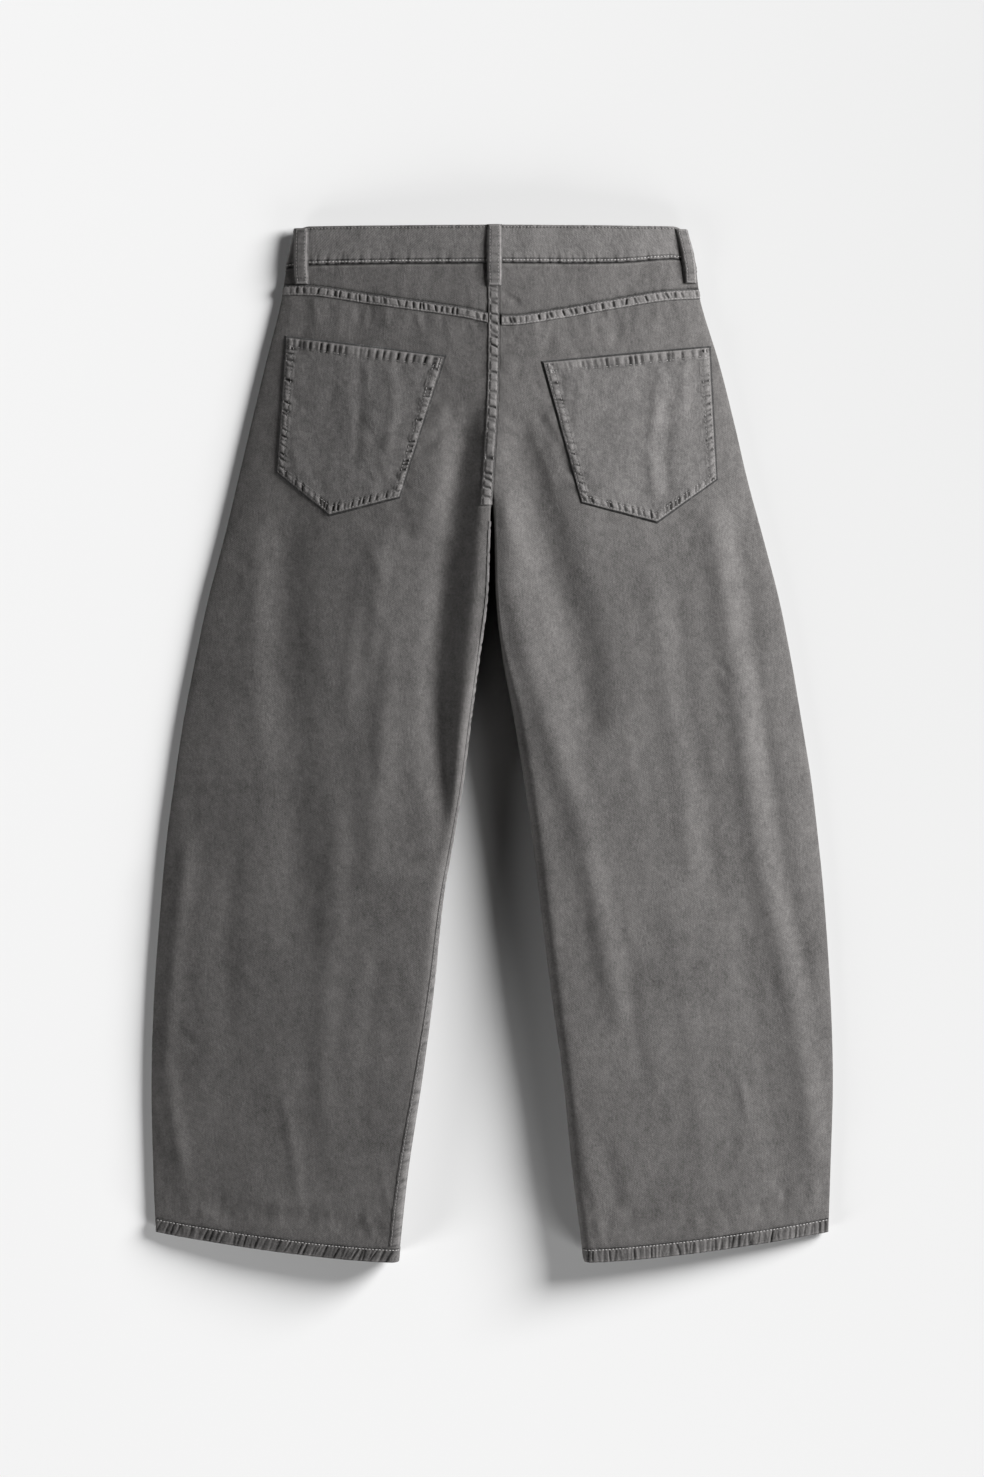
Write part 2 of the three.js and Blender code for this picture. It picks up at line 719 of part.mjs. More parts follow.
add("belt_loop_back", beltLoop({
  face: BACK, top: 0, length: LOOP_LENGTH, arch: LOOP_ARCH, route: centredRoute(BACK_LOOP_X),
}), raisedCloth);

for (const loop of SIDE_LOOPS) {
  const { top, length } = loop;
  add(loop.name, beltLoop({ face: BACK, top, length, arch: LOOP_ARCH, route: sideRoute(loop) }), raisedCloth);
}

for (const side of [LEFT, RIGHT]) {
  const x = side.sign * FRONT_LOOP_X;
  const top = frontWaistTop(FRONT_LOOP_X / sectionAt(side, 0).outer);
  add(`belt_loop_front_${side.name}`, beltLoop({
    face: FRONT, top, length: FRONT_LOOP_LENGTH, arch: FRONT_LOOP_ARCH, route: centredRoute(x),
  }), raisedCloth);
}

const waistButton = add("button", button(), buttonMetal);
waistButton.rotation.x = -Math.PI / 2;
waistButton.position.set(0, WAIST_Y - FRONT_WAIST_DROP - WAISTBAND_HEIGHT / 2,
  FRONT_WAIST_LIFT - WAISTBAND_RAISE - SEAM_GAP);

export default trousers;
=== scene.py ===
# Barrel leg trousers in grey cotton twill, laid flat with the back facing up.
# Sizes are in millimetres until a mesh is made. "down" is the distance below the waist's top edge.
# "share" runs across one side, from 0 at the centre seam or inseam to 1 at the outseam.
# "sign" is -1 on the left side and 1 on the right.
import math

import bpy
import numpy as np
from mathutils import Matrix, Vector


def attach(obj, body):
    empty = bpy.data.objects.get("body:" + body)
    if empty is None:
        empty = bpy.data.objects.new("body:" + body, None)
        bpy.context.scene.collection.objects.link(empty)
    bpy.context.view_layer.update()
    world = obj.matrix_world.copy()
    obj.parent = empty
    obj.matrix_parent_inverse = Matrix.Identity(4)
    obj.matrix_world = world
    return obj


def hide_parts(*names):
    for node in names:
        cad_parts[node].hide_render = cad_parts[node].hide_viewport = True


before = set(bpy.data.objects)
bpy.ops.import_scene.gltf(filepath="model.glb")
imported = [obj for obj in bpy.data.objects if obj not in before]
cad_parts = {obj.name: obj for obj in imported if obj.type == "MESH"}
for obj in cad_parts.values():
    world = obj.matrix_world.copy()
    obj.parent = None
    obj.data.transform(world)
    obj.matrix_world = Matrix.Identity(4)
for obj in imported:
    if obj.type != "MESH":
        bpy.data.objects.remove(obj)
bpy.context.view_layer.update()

MM = 0.001
SIDES = {"left": -1.0, "right": 1.0}

# Driving sizes that the solid model has too
LENGTH = 1016.0
WAIST_Y = LENGTH / 2
CROTCH_DOWN = 279.0
WALL = 1.2
SEAM_GAP = 0.3
WAISTBAND_HEIGHT = 38.0
WAISTBAND_WALL = 2.2
WAISTBAND_RAISE = 0.8
WAIST_CORNER_DROP = 7.0
WAIST_CORNER_START = 0.93
FRONT_WAIST_DROP = 18.0
HEM_HEIGHT = 14.0
HEM_OUTSEAM_LIFT = 27.0
HEM_CURVE_POWER = 1.5
FRONT_HEM_SETBACK = 2.0
INSEAM_HEIGHT_SHARE = 0.55
CREST_PLACE = 0.92
RAMP_SHARE = 0.8
RAMP_POWER = 1.3
ROUND_POWER = 2.5
FOLD_FADE_POWER = 12
CROTCH_CURVE = 88.0
FRONT_ROLL = 22.0
FRONT_WAIST_LIFT = 3.4
FRONT_LIFT_END = 75.0
FRONT_LIFT_GONE = 150.0

# Sizes of the scene's own cloth. Its outer edge lies lower than the solid model's, the slope across each
# leg sets in higher up, and the crest runs closer to the inseam near the crotch.
OUTER_EDGE_HEIGHT = 5.2
RAMP_START = -250.0
RAMP_FULL = 150.0
CREST_PLACE_AT_CROTCH = 0.985
CREST_MOVE_START = 390.0
CREST_MOVE_END = 500.0

# Felled seams: how wide each strip is, and where its rows of stitches run across it
YOKE_BAND_UP = 0.4
YOKE_BAND_WIDTH = 10.4
YOKE_BAND_STITCHES = (0.17, 0.83)
CENTRE_BAND_IN = 0.2
CENTRE_BAND_WIDTH = 11.6
CENTRE_BAND_STITCHES = (0.15, 0.82)
INSEAM_BAND_IN = 0.15
INSEAM_BAND_TOP = 292.0
INSEAM_BAND_END = 1000.0
INSEAM_BAND_STITCH = 0.8
INSEAM_STITCHES_TOP = 640.0
WAIST_STITCH_DOWN = 2.4
WAIST_STITCH_UP = 2.6
FRONT_WAIST_STITCH_UP = 3.0
HEM_STITCH = 0.12
HEM_OVERHANG = 0.2
# Half the waist's width, for the fly's lap as a share and for how many columns the waistband has
WAIST_HALF_WIDTH = 193.0
WAIST_COLUMNS_WIDTH = 195.0

OUTSEAM = {
    "down": (0, 38, 75, 133, 192, 250, 309, 368, 427, 486, 544, 603, 662, 750, 838, 927, 1016),
    "left": (193.5, 202, 208, 222.5, 236.7, 250.4, 264.5, 280, 292.5, 303.8, 312.6, 320.5, 326, 332.5, 335.4,
             333.7, 330),
    "right": (190, 200, 205.5, 223, 238, 251.5, 267.5, 282.7, 294.5, 304.5, 314, 321, 326.8, 332.7, 335.4,
              333, 330),
}
INSEAM = {
    "down": (279, 309, 368, 427, 486, 544, 603, 662, 750, 838, 927, 1016),
    "left": (0.4, 2, 4.5, 12.5, 20.5, 28, 38, 48, 57, 68.5, 82, 91.8),
    "right": (0.4, 1.6, 3.4, 10.3, 21.5, 31, 39.5, 46.5, 57.5, 69.5, 78.5, 90),
}
CENTRE_SEAM = {"down": (0, 100, 172, 235, 279), "x": (6.5, 7.8, 6.6, 3, 0)}
FULLNESS = {
    "down": (0, 38, 90, 150, 220, 300, 420, 600, 760, 900, 1016),
    "height": (21, 25, 32, 37, 41, 43, 44, 43, 40, 35, 29),
}
WAIST_SEAM = {"x": (-203, -183, 0, 120, 175, 203), "down": (41, 38.5, 38, 37, 32.5, 33.5)}
YOKE_SEAM = {
    "x": (-206, -174, -120, -36, 7, 59, 112, 165, 206),
    "down": (58, 59.5, 68.5, 82, 90.5, 83.5, 74, 65, 61.5),
}

# Large folds of the back as (rise, half width, path of (x, down)). Six are the solid model's own. The two
# troughs from the crotch, the crest beside the left inseam and the right outer crest differ from it.
FOLDS = [
    (-9.4, 16, ((-20, 168), (-26, 215), (-42, 330), (-52, 430), (-51, 500), (-44, 570), (-36, 640))),
    (3.4, 8, ((-6, 235), (-12, 330), (-25, 459), (-31, 530), (-35, 600))),
    (-3.5, 24, ((-200, 270), (-204, 417), (-197, 544), (-186, 730))),
    (3.2, 9, ((-298, 590), (-311, 694), (-322, 815), (-314, 878), (-300, 955))),
    (-2.4, 10, ((-305, 958), (-200, 972), (-88, 985))),
    (4, 13, ((9, 235), (15, 355), (36, 434), (61, 512), (84, 575), (97, 640), (112, 720), (128, 800))),
    (-8, 22, ((22, 168), (33, 225), (58, 329), (77, 390), (90, 466), (99, 525))),
    (4.4, 14, ((211, 262), (226, 344), (237, 434), (251, 537), (266, 642), (283, 712), (298, 775), (312, 860),
               (318, 940))),
    (-1.8, 10, ((95, 985), (200, 972), (310, 956))),
    (1.6, 9, ((-238, 203), (-222, 212), (-200, 228))),
]
# Smaller creases, listed one by one
CREASES = [
    (2.6, 16, ((-104, 290), (-108, 400), (-112, 500), (-115, 590), (-117, 660))),
    (-2.8, 36, ((-60, 290), (-68, 400), (-74, 500), (-78, 640))),
    (-1.1, 7, ((-56, 440), (-49, 520), (-39, 600))),
    (1.8, 8, ((5, 266), (19, 300), (33, 345))),
    (1.7, 4, ((238, 822), (247, 858), (251, 886))),
    (1.5, 4, ((254, 896), (244, 911), (232, 930))),
    (-1.2, 6, ((226, 880), (238, 900), (232, 920))),
    (1.5, 3.5, ((-334, 838), (-330, 870), (-318, 918))),
    (-1.3, 6, ((82, 915), (88, 945), (98, 975))),
    (1.5, 5, ((96, 955), (105, 982), (110, 1004))),
    (-1.9, 9, ((236, 290), (248, 350), (259, 434), (273, 537), (288, 642), (303, 705), (316, 765))),
    (1.4, 14, ((-229, 290), (-231, 400), (-226, 520))),
    (-1.4, 9, ((-96, 300), (-104, 380), (-118, 470), (-120, 560))),
    (1.1, 8, ((-128, 330), (-138, 420), (-142, 500))),
    (-1.2, 11, ((-250, 600), (-262, 700), (-258, 820))),
    (1.3, 12, ((-150, 560), (-158, 690), (-168, 830), (-160, 930))),
    (-1.0, 9, ((-110, 700), (-122, 800), (-130, 900))),
    (1.2, 6, ((-208, 840), (-196, 900), (-188, 966))),
    (-1.1, 4.5, ((-318, 780), (-296, 800), (-276, 812))),
    (-1.0, 4.5, ((-60, 604), (-78, 622), (-100, 632))),
    (-1.5, 4, ((214, 424), (228, 436), (240, 456))),
    (-1.1, 3.5, ((210, 446), (224, 455), (236, 470))),
    (1.9, 7, ((82, 860), (92, 920), (104, 975))),
    (-1.5, 8, ((106, 880), (118, 935), (124, 978))),
    (1.5, 6, ((164, 140), (155, 225), (161, 285))),
    (-1.0, 5, ((176, 150), (169, 225), (174, 280))),
    (1.3, 5, ((190, 120), (188, 160), (184, 200))),
    (-1.2, 5, ((59, 86), (56, 112), (50, 140))),
    (-1.1, 5, ((124, 78), (122, 104), (118, 132))),
    (-1.1, 5, ((36, 172), (66, 222), (84, 262))),
    (0.9, 5, ((30, 190), (54, 236), (66, 280))),
    (-1.0, 5, ((-30, 180), (-58, 214), (-86, 236))),
    (0.9, 6, ((-100, 110), (-96, 170), (-104, 240))),
    (-0.9, 6, ((-128, 112), (-130, 180), (-136, 250))),
    (-0.9, 6, ((-180, 80), (-186, 110), (-196, 140))),
    (1.4, 5, ((300, 985), (313, 955), (322, 925))),
    (1.5, 10, ((150, 330), (168, 440), (186, 560), (196, 650))),
    (-1.3, 10, ((176, 350), (192, 460), (210, 570), (222, 680))),
    (1.2, 12, ((170, 640), (190, 760), (204, 880), (210, 960))),
    (-1.2, 12, ((240, 690), (262, 790), (276, 890), (280, 960))),
    (-1.0, 8, ((132, 700), (140, 790), (150, 860))),
    (1.0, 5, ((-60, 985), (-100, 960), (-112, 915))),
    (-1.3, 5, ((322, 820), (300, 838), (280, 846))),
    (-1.0, 4, ((326, 850), (308, 866), (292, 872))),
    (-1.1, 4, ((324, 790), (306, 800), (288, 804))),
    (-1.0, 5, ((250, 300), (232, 322), (214, 334))),
    (-1.0, 5, ((-262, 318), (-240, 336), (-222, 344))),
]
# Folds of the front, which lies on the surface, so they rise into the cloth and never below it
FRONT_CREASES = [
    (1.6, 12, ((-60, 320), (-110, 460), (-130, 620))),
    (1.3, 10, ((-200, 300), (-230, 470), (-235, 640))),
    (1.2, 9, ((-150, 700), (-180, 830), (-200, 960))),
    (1.5, 12, ((55, 330), (100, 470), (128, 600))),
    (1.2, 9, ((205, 280), (236, 430), (246, 600))),
    (1.3, 10, ((170, 690), (196, 820), (204, 950))),
    (1.0, 8, ((-30, 120), (-70, 180), (-130, 210))),
    (1.1, 8, ((34, 130), (76, 190), (140, 214))),
]
FOLD_END = 45.0
CREASE_END = 26.0
PULLED_END = 7.0

# Seams that pull short creases into the cloth: from, to, the way that the creases run, their spacing,
# their length and their depth
PULLING_SEAMS = [
    ((-200, 64), (-120, 76), (0.05, 1.0), 11.0, 34.0, 0.50),
    ((-120, 76), (4, 94), (-0.05, 1.0), 10.0, 28.0, 0.46),
    ((10, 94), (112, 79), (0.08, 1.0), 10.0, 34.0, 0.50),
    ((112, 79), (202, 66), (0.0, 1.0), 12.0, 30.0, 0.46),
    ((-198, 62), (4, 92), (0.0, -1.0), 12.0, 15.0, 0.32),
    ((10, 92), (200, 64), (0.0, -1.0), 12.0, 15.0, 0.32),
    ((-192, 36), (190, 36), (0.1, 1.0), 10.0, 16.0, 0.34),
    ((-6, 60), (-2, 272), (-1.0, 0.5), 12.0, 26.0, 0.42),
    ((8, 60), (2, 272), (1.0, 0.45), 11.0, 30.0, 0.46),
    ((-93, 996), (-328, 972), (0.12, -1.0), 11.0, 34.0, 0.62),
    ((93, 996), (328, 972), (-0.1, -1.0), 12.0, 30.0, 0.50),
    ((-198, 116), (-207, 240), (1.0, 0.1), 11.0, 20.0, 0.36),
    ((-52, 136), (-92, 262), (-1.0, -0.1), 11.0, 20.0, 0.36),
    ((-52, 136), (-92, 262), (1.0, 0.3), 13.0, 24.0, 0.40),
    ((54, 142), (90, 266), (1.0, -0.1), 11.0, 20.0, 0.36),
    ((54, 142), (90, 266), (-1.0, 0.3), 13.0, 24.0, 0.42),
    ((209, 124), (216, 246), (-1.0, 0.1), 11.0, 20.0, 0.36),
    ((-205, 246), (-159, 280), (0.3, 1.0), 13.0, 22.0, 0.34),
    ((-159, 280), (-94, 264), (-0.1, 1.0), 13.0, 24.0, 0.34),
    ((90, 270), (161, 288), (0.1, 1.0), 13.0, 24.0, 0.34),
    ((161, 288), (217, 250), (0.2, 1.0), 13.0, 22.0, 0.34),
]

# Back pockets, by their corners as (x, down)
POCKETS = {
    "pocket_left": ((-202.4, 109.3), (-46.6, 130.8), (-90.7, 268), (-159.3, 284.7), (-211.2, 242)),
    "pocket_right": ((49.5, 136.7), (213.2, 119.1), (220, 249.4), (161.2, 291.6), (87.2, 272.9)),
}
POCKET_WIDTH = 160.0
POCKET_HEIGHT = 165.0
# The pockets lie closer to the cloth here than in the solid model
POCKET_CLEARANCE = 0.35
POCKET_EDGE = 9.5
POCKET_GROOVES = (2.0, 8.2)
POCKET_HEM_GROOVE = 10.3
POCKET_TOP_HEM = 11.5
# Width of the near-black strip round each pocket: a painted shadow
POCKET_SHADOW_WIDTH = 1.9

LOOP_WIDTH = 12.0
LOOP_WALL = 1.9
LOOP_ARCH = 1.6
LOOP_CLEARANCE = 0.5
# Width of the near-black strips beside each belt loop: a painted shadow
LOOP_SHADOW_WIDTH = 1.5
LOOP_STITCHES = (0.16, 0.84)
FRONT_LOOP_X = 112.0
FRONT_LOOP_ARCH = 0.4
FRONT_LOOP_LENGTH = 52.0
FLY_LAP = 19.0
FLY_STITCHES_IN = 36.0
FLY_STITCHES_TURN = 165.0

STITCH_PITCH = 3.3
STITCH_LENGTH = 2.4
STITCH_RADIUS = 0.42


# Curves and sections

def clamp(value, low, high):
    return np.minimum(high, np.maximum(low, value))


def mix(start, end, amount):
    return start + (end - start) * amount


def ease(start, end, value):
    amount = clamp((value - start) / (end - start), 0.0, 1.0)
    return amount * amount * (3 - 2 * amount)


def hump(value, centre, width):
    """A smooth hump that is 1 at its centre."""
    return np.exp(-(((value - centre) / width) ** 2))


def read_table(table, place, column, at):
    """A smooth curve through one column of a table, read at places along another column."""
    places = np.array(table[place], dtype=float)
    values = np.array(table[column], dtype=float)
    where = clamp(at, places[0], places[-1])
    row = np.clip(np.searchsorted(places, where, side="left") - 1, 0, len(places) - 2)
    before = np.maximum(np.arange(len(places)) - 1, 0)
    after = np.minimum(np.arange(len(places)) + 1, len(places) - 1)
    slopes = (values[after] - values[before]) / (places[after] - places[before])
    step = places[row + 1] - places[row]
    t = (where - places[row]) / step
    return (values[row] * (2 * t ** 3 - 3 * t ** 2 + 1) + values[row + 1] * (3 * t ** 2 - 2 * t ** 3)
            + slopes[row] * step * (t ** 3 - 2 * t ** 2 + t) + slopes[row + 1] * step * (t ** 3 - t ** 2))


def read_side(table, sign, down):
    left = read_table(table, "down", "left", down)
    right = read_table(table, "down", "right", down)
    return np.where(sign < 0, left, right)


def section_at(sign, down):
    """Where one side's section lies at a height: one body above the crotch, a whole leg below it."""
    outer = read_side(OUTSEAM, sign, down)
    above_crotch = sign * read_table(CENTRE_SEAM, "down", "x", down) + SEAM_GAP / 2
    inner = np.where(down < CROTCH_DOWN, above_crotch, read_side(INSEAM, sign, down))
    reach = ease(CROTCH_DOWN - CROTCH_CURVE, CROTCH_DOWN, down)
    half_width = (outer - inner) / (1 + reach)
    crest_move = ease(CREST_MOVE_START, CREST_MOVE_END, down)
    return {
        "outer": outer,
        "inner": inner,
        "reach": reach,
        "half_width": half_width,
        "middle": outer - half_width,
        "height": read_table(FULLNESS, "down", "height", down),
        "crest": -mix(CREST_PLACE_AT_CROTCH, CREST_PLACE, crest_move) * reach,
        "ramp": RAMP_SHARE * ease(RAMP_START, RAMP_FULL, down),
    }


def angle_of(section, share):
    return np.arccos(clamp(share * (1 + section["reach"]) - section["reach"], -1.0, 1.0))


def profile_at(section, turn):
    """The height of the seam on this side of the crest, and how far up to the crest the back is."""
    crest = section["crest"]
    outside = clamp((turn - crest) / (1 - crest), 0.0, 1.0)
    inside = clamp((crest - turn) / (1 + crest), 0.0, 1.0)
    ramp = 1 - outside ** RAMP_POWER
    outer_round = np.sqrt(np.maximum(0.0, 1 - outside ** ROUND_POWER))
    inner_round = np.sqrt(np.maximum(0.0, 1 - inside ** ROUND_POWER))
    is_outside = turn >= crest
    seam = np.where(is_outside, OUTER_EDGE_HEIGHT, section["height"] * INSEAM_HEIGHT_SHARE)
    rise = np.where(is_outside, mix(outer_round, ramp, section["ramp"]), inner_round)
    return seam, rise


# The folds and the cloth's own unevenness, worked out once over a grid of places

MAP_STEP = 1.25
MAP_X = np.arange(-345.0, 345.1, MAP_STEP)
MAP_DOWN = np.arange(-5.0, 1025.1, MAP_STEP)


def fold_map(folds, end):
    x, down = np.meshgrid(MAP_X, MAP_DOWN)
    total = np.zeros_like(x)
    for rise, half_width, path in folds:
        reach = 3.0 * half_width
        columns = [min(p[0] for p in path) - reach, max(p[0] for p in path) + reach]
        rows = [min(p[1] for p in path) - reach, max(p[1] for p in path) + reach]
        c0, c1 = np.searchsorted(MAP_X, columns)
        r0, r1 = np.searchsorted(MAP_DOWN, rows)
        near_x = x[r0:r1, c0:c1]
        near_down = down[r0:r1, c0:c1]
        nearest = np.full_like(near_x, 1e9)
        along = np.zeros_like(near_x)
        travelled = 0.0
        for (ax, ad), (bx, bd) in zip(path[:-1], path[1:]):
            length = math.hypot(bx - ax, bd - ad)
            share = clamp(((near_x - ax) * (bx - ax) + (near_down - ad) * (bd - ad)) / length ** 2, 0.0, 1.0)
            distance = np.hypot(near_x - ax - share * (bx - ax), near_down - ad - share * (bd - ad))
            closer = distance < nearest
            nearest = np.where(closer, distance, nearest)
            along = np.where(closer, travelled + share * length, along)
            travelled += length
        fade = ease(0.0, end, along) * ease(0.0, end, travelled - along)
        total[r0:r1, c0:c1] += rise * fade * hump(nearest, 0.0, half_width)
    return total


def uneven_map(seed, strength):
    """Soft waves of many lengths, mostly along the legs, as washed cloth has."""
    rng = np.random.default_rng(seed)
    x, down = np.meshgrid(MAP_X, MAP_DOWN)
    total = np.zeros_like(x)
    for _ in range(26):
        wavelength = rng.uniform(16, 95)
        heading = rng.normal(0.0, 0.5)
        phase = rng.uniform(0, 2 * math.pi)
        bend = rng.uniform(0, 2 * math.pi)
        travel = x * math.cos(heading) + down * math.sin(heading)
        sway = 0.22 * wavelength * np.sin(2 * math.pi * down / (wavelength * 3.7) + bend)
        swell = 0.5 + 0.5 * np.sin(2 * math.pi * (down * 0.8 + x * 0.3) / (wavelength * 5.3) + bend * 2)
        total += strength * wavelength * swell * np.sin(2 * math.pi * (travel + sway) / wavelength + phase)
    return total


def pulled_creases(seed):
    rng = np.random.default_rng(seed)
    creases = []
    for start, end, heading, spacing, reach, strength in PULLING_SEAMS:
        length = math.dist(start, end)
        at = rng.uniform(0.0, spacing)
        while at < length:
            x = mix(start[0], end[0], at / length)
            down = mix(start[1], end[1], at / length)
            turn = math.atan2(heading[1], heading[0]) + rng.normal(0.0, 0.2)
            run = reach * rng.uniform(0.45, 1.25)
            rise = 1.5 * strength * rng.uniform(0.35, 1.15) * rng.choice((-1.0, 1.0))
            far = (x + math.cos(turn) * run, down + math.sin(turn) * run)
            creases.append((rise, rng.uniform(2.6, 4.6), ((x, down), far)))
            at += spacing * rng.uniform(0.55, 1.5)
    return creases


def rumple_map(seed, count, width, downs, spread):
    """Faint short creases, as cloth keeps after washing. spread is how far they turn from the legs."""
    rng = np.random.default_rng(seed)
    creases = []
    for _ in range(count):
        x = rng.uniform(-1.0, 1.0) * width
        down = rng.uniform(*downs)
        turn = rng.normal(math.pi / 2, spread)
        run = rng.uniform(16.0, 60.0)
        rise = rng.uniform(0.15, 0.5) * rng.choice((-1.0, 1.0))
        far = (x + math.cos(turn) * run, down + math.sin(turn) * run)
        creases.append((rise, rng.uniform(2.8, 6.0), ((x, down), far)))
    return fold_map(creases, 14.0)


def read_map(grid, x, down):
    column = clamp((x - MAP_X[0]) / MAP_STEP, 0.0, len(MAP_X) - 1.001)
    row = clamp((down - MAP_DOWN[0]) / MAP_STEP, 0.0, len(MAP_DOWN) - 1.001)
    c = column.astype(int)
    r = row.astype(int)
    u = column - c
    v = row - r
    top = grid[r, c] * (1 - u) + grid[r, c + 1] * u
    low = grid[r + 1, c] * (1 - u) + grid[r + 1, c + 1] * u
    return top * (1 - v) + low * v


BACK_MAP = (
    fold_map(FOLDS, FOLD_END)
    + fold_map(CREASES, CREASE_END)
    + fold_map(pulled_creases(71), PULLED_END)
    + rumple_map(72, 230, 330.0, (60.0, 1000.0), 0.65)
    + rumple_map(73, 200, 235.0, (45.0, 330.0), 1.25)
    + uneven_map(11, 0.0014)
)
FRONT_MAP = fold_map(FRONT_CREASES, CREASE_END)


def back_point(sign, angle, down):
    section = section_at(sign, down)
    turn = np.cos(angle)
    x = sign * (section["middle"] + section["half_width"] * turn)
    seam, rise = profile_at(section, turn)
    edge = seam + SEAM_GAP / 2
    up = np.sign(np.sin(angle)) * (section["height"] - edge) * rise
    folds = read_map(BACK_MAP, x, down) * (1 - np.abs(turn) ** FOLD_FADE_POWER)
    return np.stack([x, WAIST_Y - down, edge + up + folds], axis=-1)


def front_point(sign, angle, down):
    section = section_at(sign, down)
    turn = np.cos(angle)
    x = sign * (section["middle"] + section["half_width"] * turn)
    seam, _ = profile_at(section, turn)
    edge = seam - SEAM_GAP / 2
    floor = FRONT_WAIST_LIFT * (1 - ease(FRONT_LIFT_END, FRONT_LIFT_GONE, down))
    floor = floor + read_map(FRONT_MAP, x, down)
    in_from_edge = clamp(section["half_width"] * (1 - np.abs(turn)) / FRONT_ROLL, 0.0, 1.0)
    roll = np.sign(np.sin(angle)) * np.sqrt(1 - (1 - in_from_edge) ** 2)
    return np.stack([x, WAIST_Y - down, edge - (edge - floor) * roll], axis=-1)


BACK = {"point": back_point, "facing": 1.0}
FRONT = {"point": front_point, "facing": -1.0}


def face_normal(face, sign, angle, down):
    point = face["point"]
    across = point(sign, angle + 2e-3, down) - point(sign, angle - 2e-3, down)
    along = point(sign, angle, down + 0.8) - point(sign, angle, down - 0.8)
    normal = np.cross(across, along)
    length = np.linalg.norm(normal, axis=-1, keepdims=True)
    return normal / np.maximum(length, 1e-12) * (np.asarray(sign)[..., None] * face["facing"])


def spots(face, sign, share, down):
    """Points and normals of a face at places given by share and down."""
    sign, share, down = np.broadcast_arrays(np.asarray(sign, float), np.asarray(share, float),
                                            np.asarray(down, float))
    angle = angle_of(section_at(sign, down), share)
    return face["point"](sign, angle, down), face_normal(face, sign, angle, down)


def share_at(x, down):
    """The side and share of places seen from above."""
    sign = np.where(x < read_table(CENTRE_SEAM, "down", "x", down), -1.0, 1.0)
    section = section_at(sign, down)
    share = (sign * x - section["inner"]) / (section["outer"] - section["inner"])
    return sign, clamp(share, 0.0, 1.0)


def seam_line(table, sign, share):
    width = max(-table["x"][0], table["x"][-1])
    return read_table(table, "x", "down", sign * share * width)


def waist_top(share):
    return WAIST_CORNER_DROP * clamp((share - WAIST_CORNER_START) / (1 - WAIST_CORNER_START), 0.0, 1.0) ** 2


def front_waist_top(share):
    return waist_top(share) + FRONT_WAIST_DROP * (1 - share ** 2)


def back_hem(share):
    return LENGTH - HEM_OUTSEAM_LIFT * clamp(share, 0.0, 1.0) ** HEM_CURVE_POWER


# Materials

def node(tree, kind, **settings):
    made = tree.nodes.new(kind)
    for name, value in settings.items():
        setattr(made, name, value)
    return made


def maths(tree, operation, first, second):
    made = node(tree, "ShaderNodeMath", operation=operation)
    for socket, value in ((made.inputs[0], first), (made.inputs[1], second)):
        if isinstance(value, (int, float)):
            socket.default_value = value
        else:
            tree.links.new(value, socket)
    return made.outputs[0]


def noise(tree, coordinates, scale, detail, roughness=0.5):
    """A noise in the range 0 to 1, at a scale per metre along each axis."""
    mapping = node(tree, "ShaderNodeMapping")
    mapping.inputs["Scale"].default_value = scale
    tree.links.new(coordinates, mapping.inputs["Vector"])
    made = node(tree, "ShaderNodeTexNoise")
    made.inputs["Scale"].default_value = 1.0
    made.inputs["Detail"].default_value = detail
    made.inputs["Roughness"].default_value = roughness
    tree.links.new(mapping.outputs["Vector"], made.inputs["Vector"])
    return made.outputs["Fac"]


def colour_by(tree, shader, colour, tone):
    """Gives the shader a colour that is made lighter or darker by a tone."""
    base = node(tree, "ShaderNodeRGB")
    base.outputs[0].default_value = (*colour, 1.0)
    scaled = node(tree, "ShaderNodeVectorMath", operation="SCALE")
    tree.links.new(base.outputs[0], scaled.inputs[0])
    tree.links.new(tone, scaled.inputs["Scale"])
    tree.links.new(scaled.outputs["Vector"], shader.inputs["Base Color"])


def bump_by(tree, shader, height, strength, distance):
    bump = node(tree, "ShaderNodeBump")
    bump.inputs["Strength"].default_value = strength
    bump.inputs["Distance"].default_value = distance
    tree.links.new(height, bump.inputs["Height"])
    tree.links.new(bump.outputs["Normal"], shader.inputs["Normal"])


def scaled_by(tree, value, factor, start):
    return maths(tree, "ADD", maths(tree, "MULTIPLY", value, factor), start)


def new_material(name):
    material = bpy.data.materials.new(name)
    material.use_nodes = True
    tree = material.node_tree
    shader = tree.nodes["Principled BSDF"]
    return material, tree, shader


